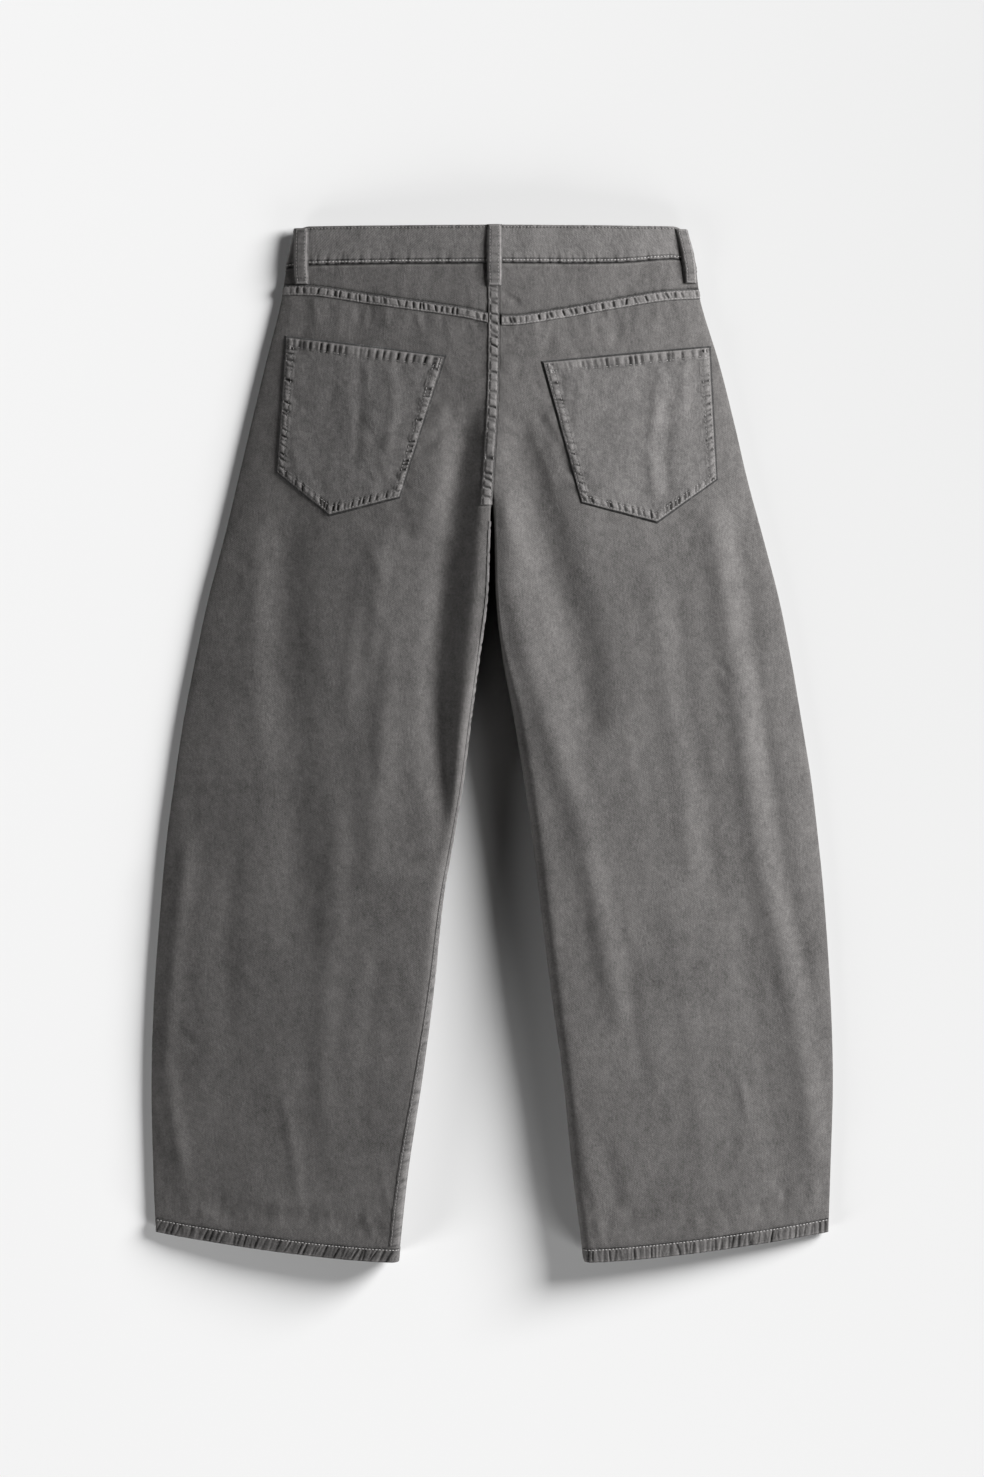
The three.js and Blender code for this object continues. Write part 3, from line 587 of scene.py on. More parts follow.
def twill_material(name, colour, sheen, mottle):
    """Washed, garment-dyed twill: slubs along the legs and soft clouds of dye. A vertex attribute lightens
    and darkens it: rubbed ridges, painted shade in seams and ditches, and painted highlights on edges.
    """
    material, tree, shader = new_material(name)
    coordinates = node(tree, "ShaderNodeTexCoord").outputs["UV"]
    slub = noise(tree, coordinates, (460.0, 190.0, 1.0), 3.0, 0.62)
    grain = noise(tree, coordinates, (560.0, 480.0, 1.0), 4.0, 0.66)
    fleck = noise(tree, coordinates, (260.0, 215.0, 1.0), 3.0, 0.6)
    cloud = noise(tree, coordinates, (24.0, 13.0, 1.0), 3.0, 0.55)
    blotch = noise(tree, coordinates, (120.0, 75.0, 1.0), 2.0, 0.5)
    # The attribute below carries rubbed wear mixed with painted shade and painted highlights
    wear_and_painted_light = node(tree, "ShaderNodeAttribute", attribute_name="wear_and_painted_light").outputs["Fac"]
    tone = maths(tree, "MULTIPLY", maths(tree, "SUBTRACT", slub, 0.5), 0.4)
    amounts = (
        (grain, 1.1),
        (fleck, 0.45 * mottle),
        (cloud, 0.6 * mottle),
        (blotch, 0.5 * mottle),
        (wear_and_painted_light, 1.7),
    )
    for pattern, amount in amounts:
        around_zero = maths(tree, "SUBTRACT", pattern, 0.5)
        tone = maths(tree, "ADD", tone, maths(tree, "MULTIPLY", around_zero, amount))
    tone = maths(tree, "MAXIMUM", maths(tree, "ADD", tone, 1.0), 0.12)
    colour_by(tree, shader, colour, tone)
    tree.links.new(scaled_by(tree, slub, 0.1, 0.84), shader.inputs["Roughness"])
    ribs = node(tree, "ShaderNodeTexWave", wave_type="BANDS", bands_direction="DIAGONAL")
    ribs.inputs["Scale"].default_value = 1.0
    ribs.inputs["Distortion"].default_value = 0.6
    stretch = node(tree, "ShaderNodeMapping")
    stretch.inputs["Scale"].default_value = (420.0, 300.0, 1.0)
    tree.links.new(coordinates, stretch.inputs["Vector"])
    tree.links.new(stretch.outputs["Vector"], ribs.inputs["Vector"])
    height = slub
    for pattern, amount in ((grain, 0.7), (ribs.outputs["Fac"], 0.3), (fleck, 0.7 * mottle)):
        height = maths(tree, "ADD", height, maths(tree, "MULTIPLY", pattern, amount))
    bump_by(tree, shader, height, 0.7, 0.0006)
    shader.inputs["Specular IOR Level"].default_value = 0.16
    shader.inputs["Sheen Weight"].default_value = sheen
    shader.inputs["Sheen Roughness"].default_value = 0.5
    return material


def thread_material(name, colour):
    material, tree, shader = new_material(name)
    coordinates = node(tree, "ShaderNodeTexCoord").outputs["Object"]
    strands = noise(tree, coordinates, (1400.0, 1400.0, 1400.0), 2.0)
    tone = scaled_by(tree, strands, 0.5, 0.75)
    colour_by(tree, shader, colour, tone)
    bump_by(tree, shader, strands, 0.4, 0.0002)
    shader.inputs["Roughness"].default_value = 0.7
    shader.inputs["Specular IOR Level"].default_value = 0.3
    return material


def button_material():
    material, tree, shader = new_material("button_metal")
    coordinates = node(tree, "ShaderNodeTexCoord").outputs["Object"]
    scuffs = noise(tree, coordinates, (600.0, 600.0, 600.0), 4.0, 0.65)
    tone = scaled_by(tree, scuffs, 0.3, 0.85)
    colour_by(tree, shader, BUTTON_METAL, tone)
    tree.links.new(scaled_by(tree, scuffs, 0.3, 0.3), shader.inputs["Roughness"])
    bump_by(tree, shader, scuffs, 0.25, 0.0002)
    shader.inputs["Metallic"].default_value = 0.9
    return material


def floor_material():
    """Paper that looks evenly white, so it is the darker the nearer it lies to the lamps."""
    material, tree, shader = new_material("paper_floor")
    coordinates = node(tree, "ShaderNodeTexCoord").outputs["Object"]
    light = WORLD_STRENGTH
    for settings in LAMPS.values():
        to_lamp = node(tree, "ShaderNodeVectorMath", operation="SUBTRACT")
        to_lamp.inputs[0].default_value = settings["place"]
        tree.links.new(coordinates, to_lamp.inputs[1])
        reach = node(tree, "ShaderNodeVectorMath", operation="DOT_PRODUCT")
        reach.inputs[1].default_value = settings["towards"]
        tree.links.new(to_lamp.outputs["Vector"], reach.inputs[0])
        distance = node(tree, "ShaderNodeVectorMath", operation="LENGTH")
        tree.links.new(to_lamp.outputs["Vector"], distance.inputs[0])
        fourth = maths(tree, "POWER", distance.outputs["Value"], 4.0)
        facing = maths(tree, "MULTIPLY", reach.outputs["Value"], settings["place"][2])
        spread = maths(tree, "DIVIDE", facing, fourth)
        light = maths(tree, "ADD", maths(tree, "MULTIPLY", spread, settings["watts"] / math.pi ** 2), light)
    tone = maths(tree, "MINIMUM", maths(tree, "DIVIDE", FLOOR_LEVEL, light), 0.98)
    tree.links.new(tone, shader.inputs["Base Color"])
    shader.inputs["Roughness"].default_value = 1.0
    shader.inputs["Specular IOR Level"].default_value = 0.0
    return material


def lamp(azimuth, elevation, distance, size, watts):
    """A round soft lamp that faces the middle of the trousers, by its angles in degrees."""
    turn = math.radians(azimuth)
    lift = math.radians(elevation)
    towards = Vector((math.cos(turn) * math.cos(lift), math.sin(turn) * math.cos(lift), math.sin(lift)))
    return {"towards": towards, "place": LAMP_AIM + towards * distance, "size": size, "watts": watts}


LAMP_AIM = Vector((0.0, 0.1, 0.0))
LAMPS = {
    "key": lamp(22.0, 25.0, 2.6, 1.25, 196.0),
    "fill": lamp(220.0, 15.0, 3.0, 1.2, 46.0),
    "front": lamp(306.0, 14.0, 3.0, 1.3, 44.0),
}
WORLD_STRENGTH = 0.004
FLOOR_LEVEL = 0.945
FLOOR_HALF_WIDTH = 6.0
FLOOR_DROP = 0.0006
TWILL = (0.088, 0.084, 0.0822)
BAND_TWILL = (0.103, 0.0986, 0.0969)
THREAD = (0.185, 0.178, 0.175)
PALE_THREAD = (0.34, 0.33, 0.325)
BUTTON_METAL = (0.35, 0.34, 0.33)

twill = twill_material("twill", TWILL, 0.12, 1.25)
band_twill = twill_material("band_twill", BAND_TWILL, 0.14, 1.4)
thread = thread_material("thread", THREAD)
pale_thread = thread_material("pale_thread", PALE_THREAD)
button_metal = button_material()


# Meshes

def make_object(name, vertices, faces, material, uv=None, wear_and_painted_light=None):
    mesh = bpy.data.meshes.new(name)
    mesh.from_pydata((vertices * MM).tolist(), [], faces)
    mesh.shade_smooth()
    if uv is not None:
        corner = np.empty(len(mesh.loops), dtype=np.int32)
        mesh.loops.foreach_get("vertex_index", corner)
        layer = mesh.uv_layers.new(name="size_in_metres")
        layer.uv.foreach_set("vector", (uv[corner] * MM).astype(np.float32).ravel())
    if wear_and_painted_light is not None:
        attribute = mesh.attributes.new("wear_and_painted_light", "FLOAT", "POINT")
        attribute.data.foreach_set("value", wear_and_painted_light.astype(np.float32))
    mesh.materials.append(material)
    made = bpy.data.objects.new(name, mesh)
    bpy.context.collection.objects.link(made)
    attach(made, "root")
    return made


def grid_faces(rows, columns):
    """Faces of a closed sheet between an outer and an inner grid of points."""
    index = np.arange(2 * rows * columns).reshape(2, rows, columns)

    def quads(a, b, c, d):
        return np.stack([a.ravel(), b.ravel(), c.ravel(), d.ravel()], axis=1)

    o = index[0]
    i = index[1]
    parts = [
        quads(o[:-1, :-1], o[1:, :-1], o[1:, 1:], o[:-1, 1:]),
        quads(i[:-1, :-1], i[:-1, 1:], i[1:, 1:], i[1:, :-1]),
        quads(o[:-1, 0], i[:-1, 0], i[1:, 0], o[1:, 0]),
        quads(o[:-1, -1], o[1:, -1], i[1:, -1], i[:-1, -1]),
        quads(o[0, :-1], o[0, 1:], i[0, 1:], i[0, :-1]),
        quads(o[-1, :-1], i[-1, :-1], i[-1, 1:], o[-1, 1:]),
    ]
    return np.concatenate(parts)


def sheet_mesh(name, outer, inner, uv, wear_and_painted_light, material):
    rows, columns = outer.shape[:2]
    vertices = np.concatenate([outer.reshape(-1, 3), inner.reshape(-1, 3)])
    faces = grid_faces(rows, columns)
    a, b, c = (vertices[faces[:, k]] for k in (0, 1, 2))
    d = vertices[faces[:, 3]]
    volume = np.einsum("ij,ij->", a, np.cross(b, c)) + np.einsum("ij,ij->", a, np.cross(c, d))
    if volume < 0:
        faces = faces[:, ::-1]
    flat_uv = uv.reshape(-1, 2)
    flat_wear_and_painted_light = wear_and_painted_light.ravel()
    inner_wear_and_painted_light = np.full_like(flat_wear_and_painted_light, 0.5)
    return make_object(name, vertices, faces.tolist(), material,
                       np.concatenate([flat_uv, flat_uv]), np.concatenate([flat_wear_and_painted_light, inner_wear_and_painted_light]))


def edge_places(size, step, roll=6.0):
    """Shares from 0 to 1 about a step apart, closer in the last few millimetres at both ends."""
    inside = np.linspace(roll, size - roll, max(3, int((size - 2 * roll) / step)) + 1)
    close = np.array([0.0, 0.25, 0.8, 1.7, 2.9, 4.3])
    return np.concatenate([close, inside, size - close[::-1]]) / size


def panel(name, face, sign, top, bottom, row_step, column_step):
    """A panel between two lines, each a function of share. Its colour has painted shade in the seams at its
    top and bottom, and a painted highlight just below the top.
    """
    width = 240.0 if face is BACK else 245.0
    shares = edge_places(width, column_step)
    length = float(np.max(bottom(shares) - top(shares)))
    rows = edge_places(length, row_step)
    down = mix(top(shares)[None, :], bottom(shares)[None, :], rows[:, None])
    share = np.broadcast_to(shares, down.shape)
    point, normal = spots(face, sign, share, down)
    section = section_at(np.full_like(down, sign), down)
    x = sign * mix(section["inner"], section["outer"], share)
    uv = np.stack([x, -down], axis=-1)
    from_top = down - top(shares)[None, :]
    to_bottom = bottom(shares)[None, :] - down
    # Painted shade in the seam ditches at the top and bottom edges, and a painted highlight on the edge just
    # below the top
    wear_and_painted_light = 0.5 - 0.5 * hump(from_top, 0.0, 0.9) - 0.42 * hump(to_bottom, 0.0, 1.9)
    wear_and_painted_light = wear_and_painted_light + 0.2 * hump(from_top, 1.9, 0.8)
    return sheet_mesh(name, point, point - normal * WALL, uv, wear_and_painted_light, twill)


# Seams that pucker

def pucker_run(length, pitch, seed):
    """Uneven valleys along a puckered seam: place, half width, depth and lean of each."""
    rng = np.random.default_rng(seed)
    places = []
    at = rng.uniform(0.2, 0.8) * pitch
    while at < length:
        places.append((at, pitch * rng.uniform(0.13, 0.3), rng.uniform(0.2, 1.15), rng.normal(0.0, 0.16)))
        at += pitch * rng.uniform(0.5, 1.5)
    return np.array(places)


def pucker_rise(run, along, across, lean):
    """1 on the lumps and 0 in the deepest valleys. lean is how far a valley slants, in mm, over the band."""
    total = np.zeros(np.broadcast(along, across).shape)
    for place, half_width, depth, own_lean in run:
        shift = place + (across - 0.5) * (lean + own_lean * 10)
        total += depth * hump(along, shift, half_width)
    return np.clip(1 - total, 0.0, 1.0)


def band(name, spot, length, width, pitch, seed, lean=0.0, raise_mm=1.3, pucker_mm=1.8, stitch_lines=(),
         tone=0.68, valley=0.5, rope=0.0, top_rim_shade=0.4, low_rim_shade=0.6, step=0.75, across_step=0.62,
         pull_mm=0.45):
    """A felled or hemmed strip. spot(u, v) gives points and normals, with u from 0 to 1 along the
    seam and v from 0 to 1 across it. The strip pulls in and puckers between its lines of stitches."""
    rows = int(length / step) + 1
    columns = int(width / across_step) + 1
    u = np.linspace(0.0, 1.0, rows)[:, None] * np.ones((1, columns))
    v = np.linspace(0.0, 1.0, columns)[None, :] * np.ones((rows, 1))
    point, normal = spot(u, v)
    run = pucker_run(length, pitch, seed)
    bulge = pucker_rise(run, u * length, v, lean)
    groove = np.zeros_like(v)
    for line in stitch_lines:
        groove = groove + hump((v - line) * width, 0.0, 0.85)
    body = (1 - np.abs(2 * v - 1) ** 7) ** 0.5
    between = np.clip(1 - groove, 0.0, 1.0)
    if len(stitch_lines) == 2:
        between = between * (0.25 + 0.75 * ease(0.06, 0.26, v) * ease(0.06, 0.26, 1 - v))
    lift = 0.12 + body * (raise_mm - 0.12 + pucker_mm * (bulge - 0.7) * between - pull_mm * groove)
    # Lighter on the pucker lumps and darker in the valleys, partly rubbed wear and partly painted light and
    # shade; painted shade in the stitch grooves
    wear_and_painted_light = tone + valley * (bulge - 1.0) * between - 0.16 * groove
    # Lighter rope ridges, partly rubbed wear and partly painted highlight
    ridges = 1 - pucker_rise(pucker_run(length, pitch * 0.8, seed + 300), u * length, v, lean)
    lift = lift + 0.7 * rope * ridges * body
    wear_and_painted_light = wear_and_painted_light + rope * ridges
    top_rim = v * width
    low_rim = (1 - v) * width
    # Painted shade in the ditches at both rims, and painted highlights on the edges just inside them
    wear_and_painted_light = wear_and_painted_light - (0.3 + top_rim_shade) * hump(top_rim, 0.0, 1.2) - low_rim_shade * hump(low_rim, 0.0, 0.9)
    wear_and_painted_light = wear_and_painted_light + 0.2 * (hump(top_rim, 1.9, 0.6) + hump(low_rim, 1.7, 0.6))
    uv = np.stack([u * length + seed * 37.0, v * width + seed * 11.0], axis=-1)
    outer = point + normal * lift[..., None]
    inner = point + normal * np.minimum(lift - 0.35, -0.1)[..., None]
    return sheet_mesh(name, outer, inner, uv, np.clip(wear_and_painted_light, 0.05, 1.1), band_twill)


# Stitches

def stitch_shape():
    """One stitch along x, as a small six-sided capsule: its vertices, and its faces."""
    rings = ((-0.5, 0.0), (-0.4, 0.8), (0.0, 1.0), (0.4, 0.8), (0.5, 0.0))
    sides = 6
    vertices = [(rings[0][0] * STITCH_LENGTH, 0.0, 0.0)]
    for along, radius in rings[1:-1]:
        for k in range(sides):
            turn = 2 * math.pi * k / sides
            vertices.append((along * STITCH_LENGTH, radius * STITCH_RADIUS * math.cos(turn),
                             radius * STITCH_RADIUS * math.sin(turn)))
    vertices.append((rings[-1][0] * STITCH_LENGTH, 0.0, 0.0))
    last = len(vertices) - 1
    faces = []
    for k in range(sides):
        after = (k + 1) % sides
        faces.append((0, 1 + after, 1 + k))
        for ring in range(len(rings) - 3):
            a = 1 + ring * sides
            b = a + sides
            faces.append((a + k, a + after, b + after, b + k))
        a = 1 + (len(rings) - 3) * sides
        faces.append((a + k, a + after, last))
    return np.array(vertices), faces


STITCH_VERTICES, STITCH_FACES = stitch_shape()


def row_of_stitches(points, normals, pitch=STITCH_PITCH, seed=0, length_scale=1.0):
    """Places one stitch every pitch along a line of points, as (centre, along, up, scale) rows."""
    steps = np.linalg.norm(np.diff(points, axis=0), axis=1)
    travelled = np.concatenate([[0.0], np.cumsum(steps)])
    rng = np.random.default_rng(seed)
    count = int(travelled[-1] / pitch)
    if count < 1:
        return []
    at = (np.arange(count) + 0.5) * travelled[-1] / count + rng.normal(0.0, 0.09, count)
    centre = np.stack([np.interp(at, travelled, points[:, k]) for k in range(3)], axis=1)
    ahead = np.stack([np.interp(at + 1.2, travelled, points[:, k]) for k in range(3)], axis=1)
    behind = np.stack([np.interp(at - 1.2, travelled, points[:, k]) for k in range(3)], axis=1)
    up = np.stack([np.interp(at, travelled, normals[:, k]) for k in range(3)], axis=1)
    along = ahead - behind
    along /= np.linalg.norm(along, axis=1, keepdims=True)
    up -= along * np.sum(along * up, axis=1, keepdims=True)
    up /= np.linalg.norm(up, axis=1, keepdims=True)
    turn = rng.normal(0.0, 0.06, count)[:, None]
    side = np.cross(up, along)
    along = along * np.cos(turn) + side * np.sin(turn)
    scale = length_scale * rng.uniform(0.9, 1.06, count)
    return [(centre, along, up, scale)]


def stitches(name, rows, material):
    """One mesh of all the stitches in these rows."""
    vertices = []
    faces = []
    start = 0
    for centre, along, up, scale in rows:
        side = np.cross(up, along)
        local = STITCH_VERTICES
        placed = (centre[:, None, :] + along[:, None, :] * (local[None, :, 0, None] * scale[:, None, None])
                  + side[:, None, :] * local[None, :, 1, None] + up[:, None, :] * local[None, :, 2, None])
        for one in placed:
            vertices.append(one)
            faces.extend(tuple(corner + start for corner in face) for face in STITCH_FACES)
            start += len(one)
    return make_object(name, np.concatenate(vertices), faces, material)


def line_on(face, sign, share, down, lift):
    point, normal = spots(face, sign, share, down)
    return point + normal * lift, normal


# The main panels

def beside_seam(table, sign, offset):
    """The line beside a seam, as a function of share."""
    return lambda share: seam_line(table, sign, share) + offset


def front_top(share):
    return front_waist_top(share) + WAISTBAND_HEIGHT + SEAM_GAP


def front_hem(share):
    return back_hem(share) - FRONT_HEM_SETBACK


def main_panels():
    half_gap = SEAM_GAP / 2
    made = {}
    for side, sign in SIDES.items():
        yoke_top = beside_seam(WAIST_SEAM, sign, half_gap)
        yoke_low = beside_seam(YOKE_SEAM, sign, -half_gap)
        back_top = beside_seam(YOKE_SEAM, sign, half_gap)
        made["back_" + side] = panel("cloth_back_" + side, BACK, sign, back_top, back_hem, 2.6, 2.6)
        made["front_" + side] = panel("cloth_front_" + side, FRONT, sign, front_top, front_hem, 5.0, 5.0)
        made["yoke_" + side] = panel("cloth_yoke_" + side, BACK, sign, yoke_top, yoke_low, 2.0, 2.2)
    return made


# The felled seams and hems

def yoke_band_down(sign, share, v):
    return seam_line(YOKE_SEAM, sign, share) - YOKE_BAND_UP + v * YOKE_BAND_WIDTH


def left_share(in_from_inner, down):
    """The share of places on the left side, by how far they are in from its centre seam or inseam."""
    section = section_at(np.full_like(down, -1.0), down)
    return in_from_inner / (section["outer"] - section["inner"])


def centre_band_share(down, v):
    return left_share(CENTRE_BAND_IN + v * CENTRE_BAND_WIDTH, down)


def inseam_band_share(down, v):
    """The inseam's felled strip turns up onto the back lower down, so it shows wider there."""
    reach = 2.2 + 8.8 * ease(560.0, INSEAM_BAND_END, down)
    return left_share(INSEAM_BAND_IN + v * reach, down)


def yoke_band(side, sign):
    def spot(u, v):
        share = mix(0.055 if sign < 0 else 0.005, 0.998, u)
        return spots(BACK, sign, share, yoke_band_down(sign, share, v))

    return band(f"yoke_seam_{side}", spot, 205.0, YOKE_BAND_WIDTH, 6.3, 21 if sign < 0 else 22,
                lean=1.5 * sign, stitch_lines=YOKE_BAND_STITCHES)


def centre_band():
    def spot(u, v):
        down = mix(39.5, 276.0, u)
        return spots(BACK, -1.0, centre_band_share(down, v), down)

    return band("centre_seam", spot, 237.0, CENTRE_BAND_WIDTH, 7.6, 23, lean=-2.0,
                stitch_lines=CENTRE_BAND_STITCHES)


def hem_band(side, sign, face, seed):
    is_back = face is BACK
    name = f"hem_back_{side}" if is_back else f"hem_front_{side}"

    def spot(u, v):
        share = mix(0.004, 0.996, u)
        edge = back_hem(share) if is_back else front_hem(share)
        return spots(face, sign, share, edge - HEM_HEIGHT * (1 - v) + HEM_OVERHANG)

    # The left hem is set darker than the right: painted shade on the side away from the key lamp
    return band(name, spot, 258.0, HEM_HEIGHT, 6.2, seed, lean=6.0 if sign < 0 else -1.5,
                pucker_mm=1.3 if is_back else 0.3, stitch_lines=(HEM_STITCH,),
                tone=0.29 if sign < 0 else 0.37, valley=0.3, rope=0.3, top_rim_shade=0.15, low_rim_shade=0.2,
                step=0.75 if is_back else 1.3, pull_mm=0.6)


def inseam_band():
    def spot(u, v):
        down = mix(INSEAM_BAND_TOP, INSEAM_BAND_END, u)
        return spots(BACK, -1.0, inseam_band_share(down, v), down)

    # The top rim is given a painted highlight instead of painted shade
    return band("inseam_seam", spot, INSEAM_BAND_END - INSEAM_BAND_TOP, 9.0, 9.0, 31, lean=2.0, raise_mm=0.8,
                pucker_mm=0.7, stitch_lines=(INSEAM_BAND_STITCH,), tone=0.5, valley=0.3, top_rim_shade=-0.3,
                low_rim_shade=0.2)


# The waistband, from its top edge to its lower seam

def waistband(name, face, sign_share, length, seed):
    sign, share = sign_share
    rows = np.linspace(0.0, 1.0, 35)
    if face is BACK:
        top = waist_top(share)
        lower = lower_waist_seam(sign, share)
    else:
        top = front_waist_top(share)
        lower = top + WAISTBAND_HEIGHT
    down = mix(top[None, :], lower[None, :], rows[:, None])
    sign = np.broadcast_to(sign, down.shape)
    share = np.broadcast_to(share, down.shape)
    point, normal = spots(face, sign, share, down)
    v = np.broadcast_to(rows[:, None], down.shape)
    steps = np.linalg.norm(np.diff(point[len(rows) // 2], axis=0), axis=1)
    travelled = np.concatenate([[0.0], np.cumsum(steps)])
    along = np.broadcast_to(travelled[None, :], down.shape)
    top_run = pucker_rise(pucker_run(length, 5.2, seed), along, np.zeros_like(v), 0.0)
    low_run = pucker_rise(pucker_run(length, 7.6, seed + 1), along, np.zeros_like(v), 0.0)
    from_top = v * WAISTBAND_HEIGHT
    from_low = (1 - v) * WAISTBAND_HEIGHT
    near_top = hump(from_top, 0.0, 4.0)
    near_low = hump(from_low, 0.0, 8.0)
    groove_top = hump(from_top, WAIST_STITCH_DOWN, 0.9)
    groove_low = hump(from_low, WAIST_STITCH_UP, 0.8)
    body = (1 - np.abs(2 * v - 1) ** 26) ** 0.5
    soft = 0.25 * np.sin(along / 17.0 + seed) + 0.2 * np.sin(along / 9.3 + v * 2.0)
    lift = WAISTBAND_RAISE - 0.75 * (1 - body) + soft * 0.5
    lift = lift + 0.6 * near_top * (top_run - 0.7) + 1.2 * near_low * (low_run - 0.7)
    lift = lift - 0.5 * groove_top - 0.7 * groove_low
    # Lighter on the pucker lumps, partly rubbed wear and partly painted light; the right side is painted
    # slightly lighter, as it lies nearer the key lamp
    wear_and_painted_light = 0.55 + 0.03 * np.sign(sign) + 0.45 * near_top * (top_run - 0.7) + 0.4 * near_low * (low_run - 0.7)
    # Painted shade in the top stitch groove and beside the lower stitches, a painted shadow along the lower
    # edge, and painted highlights at the top edge and along the lower stitch groove
    wear_and_painted_light = wear_and_painted_light - 0.25 * groove_top - 0.45 * hump(from_low - WAIST_STITCH_UP, 1.5, 0.8)
    wear_and_painted_light = wear_and_painted_light + 0.2 * groove_low - 0.7 * hump(from_low, 0.0, 1.2) + 0.12 * hump(from_top, 0.6, 0.6)
    uv = np.stack([along + 900, -down], axis=-1)
    outer = point + normal * lift[..., None]
    inner = point + normal * (WAISTBAND_RAISE - WAISTBAND_WALL)
    return sheet_mesh(name, outer, inner, uv, wear_and_painted_light, band_twill)


def across_both(step, left_end=1.0, right_end=1.0):
    left = np.linspace(left_end, 0.0, int(WAIST_COLUMNS_WIDTH * left_end / step))
    right = np.linspace(0.0, right_end, int(WAIST_COLUMNS_WIDTH * right_end / step))[1:]
    sign = np.concatenate([np.full(len(left), -1.0), np.full(len(right), 1.0)])
    return sign, np.concatenate([left, right])


def lower_waist_seam(sign, share):
    left = seam_line(WAIST_SEAM, -1.0, share)
    right = seam_line(WAIST_SEAM, 1.0, share)
    return np.where(sign < 0, left, right) - SEAM_GAP / 2


def waistbands():
    lap = FLY_LAP / WAIST_HALF_WIDTH
    gap = SEAM_GAP / WAIST_HALF_WIDTH
    columns = 110
    stretches = {
        "waistband_back": (BACK, across_both(1.3), 400.0, 41),
        "waistband_front_left": (FRONT, across_both(1.6, 1.0, lap), 215.0, 43),
        "waistband_front_right": (FRONT, (np.ones(columns), np.linspace(lap + gap, 1.0, columns)), 180.0, 45),
    }
    return {name: waistband(name + "_cloth", *stretch) for name, stretch in stretches.items()}


# The pockets

def pocket_place(corners, across, depth):
    top_left, top_right, low_right, tip, low_left = (np.array(corner, dtype=float) for corner in corners)
    tip_share = (tip[0] - low_left[0]) / (low_right[0] - low_left[0])
    upper = mix(top_left, top_right, across[..., None])
    first = mix(low_left, tip, (across / tip_share)[..., None])
    second = mix(tip, low_right, ((across - tip_share) / (1 - tip_share))[..., None])
    lower = np.where((across < tip_share)[..., None], first, second)
    return mix(upper, lower, depth[..., None])


def pocket_spots(corners, across, depth):
    place = pocket_place(corners, across, depth)
    sign, share = share_at(place[..., 0], place[..., 1])
    point, normal = spots(BACK, sign, share, place[..., 1])
    return point, normal, place


def pocket(name, corners, seed):
    width = POCKET_WIDTH
    height = POCKET_HEIGHT
    painted_shadow_strip = POCKET_SHADOW_WIDTH / width
    shares = np.concatenate([[-painted_shadow_strip], edge_places(width, 1.25), [1 + painted_shadow_strip]])
    depths = np.concatenate([[-painted_shadow_strip], edge_places(height, 1.25), [1 + painted_shadow_strip]])
    across, depth = np.meshgrid(shares, depths)
    point, normal, place = pocket_spots(corners, across, depth)
    left_in = across * width
    right_in = (1 - across) * width
    low_in = (1 - depth) * height
    top_in = depth * height
    side_in = np.minimum(left_in, right_in)
    edge_in = np.minimum(side_in, low_in)
    in_band = 1 - ease(POCKET_EDGE - 0.2, POCKET_EDGE + 1.0, edge_in)
    in_hem = 1 - ease(POCKET_TOP_HEM - 0.6, POCKET_TOP_HEM + 0.8, top_in)
    rim = np.minimum(edge_in, top_in)
    left_run = pucker_rise(pucker_run(height, 7.2, seed), top_in, 0.5, 0.0)
    right_run = pucker_rise(pucker_run(height, 7.5, seed + 1), top_in, 0.5, 0.0)
    low_run = pucker_rise(pucker_run(width, 6.6, seed + 2), left_in, 0.5, 0.0)
    hem_run = pucker_rise(pucker_run(width, 6.6, seed + 3), left_in, 0.5, 0.0)
    side_run = np.where(left_in < right_in, left_run, right_run)
    edge_run = np.where(low_in < side_in, low_run, side_run)
    groove = sum(hump(edge_in, inset, 0.8) for inset in POCKET_GROOVES)
    groove = np.minimum(groove + hump(top_in, POCKET_HEM_GROOVE, 0.8), 1.0)
    rounded = np.sqrt(np.clip(1 - (1 - np.clip(rim / 1.3, 0, 1)) ** 2, 0, 1))
    band_here = np.maximum(in_band, in_hem) * (0.2 + 0.8 * ease(1.2, 3.0, rim))
    run = np.where(in_hem > in_band, hem_run, edge_run)
    base = POCKET_CLEARANCE + WALL
    lift = base - 0.9 * (1 - rounded) + 0.45 * band_here - 0.5 * groove * rounded
    lift = lift + 2.2 * band_here * (run - 0.7) * (1 - groove) * rounded
    # Lighter on the pucker lumps, partly rubbed wear and partly painted light; painted shade in the stitch
    # grooves, a painted highlight just inside the rim and painted shade at its edge
    wear_and_painted_light = 0.47 + band_here * (0.08 + 0.5 * (run - 0.85)) - 0.2 * groove
    wear_and_painted_light = wear_and_painted_light + 0.4 * hump(rim, 1.0, 0.7) - 0.6 * hump(rim, 0.0, 0.6)
    # A near-black strip lying on the panel round the pocket: a painted shadow
    painted_shadow_fringe = np.minimum(rim, 0.0) < -0.1
    lift = np.where(painted_shadow_fringe, 0.12, lift)
    wear_and_painted_light = np.where(painted_shadow_fringe, 0.02, wear_and_painted_light)
    uv = place * np.array([1.0, -1.0]) + np.array([0.0, 3000.0])
    outer = point + normal * lift[..., None]
    inner = point + normal * np.where(painted_shadow_fringe, -0.1, POCKET_CLEARANCE - 0.2)[..., None]
    return sheet_mesh(name + "_cloth", outer, inner, uv, wear_and_painted_light, band_twill)


# The belt loops

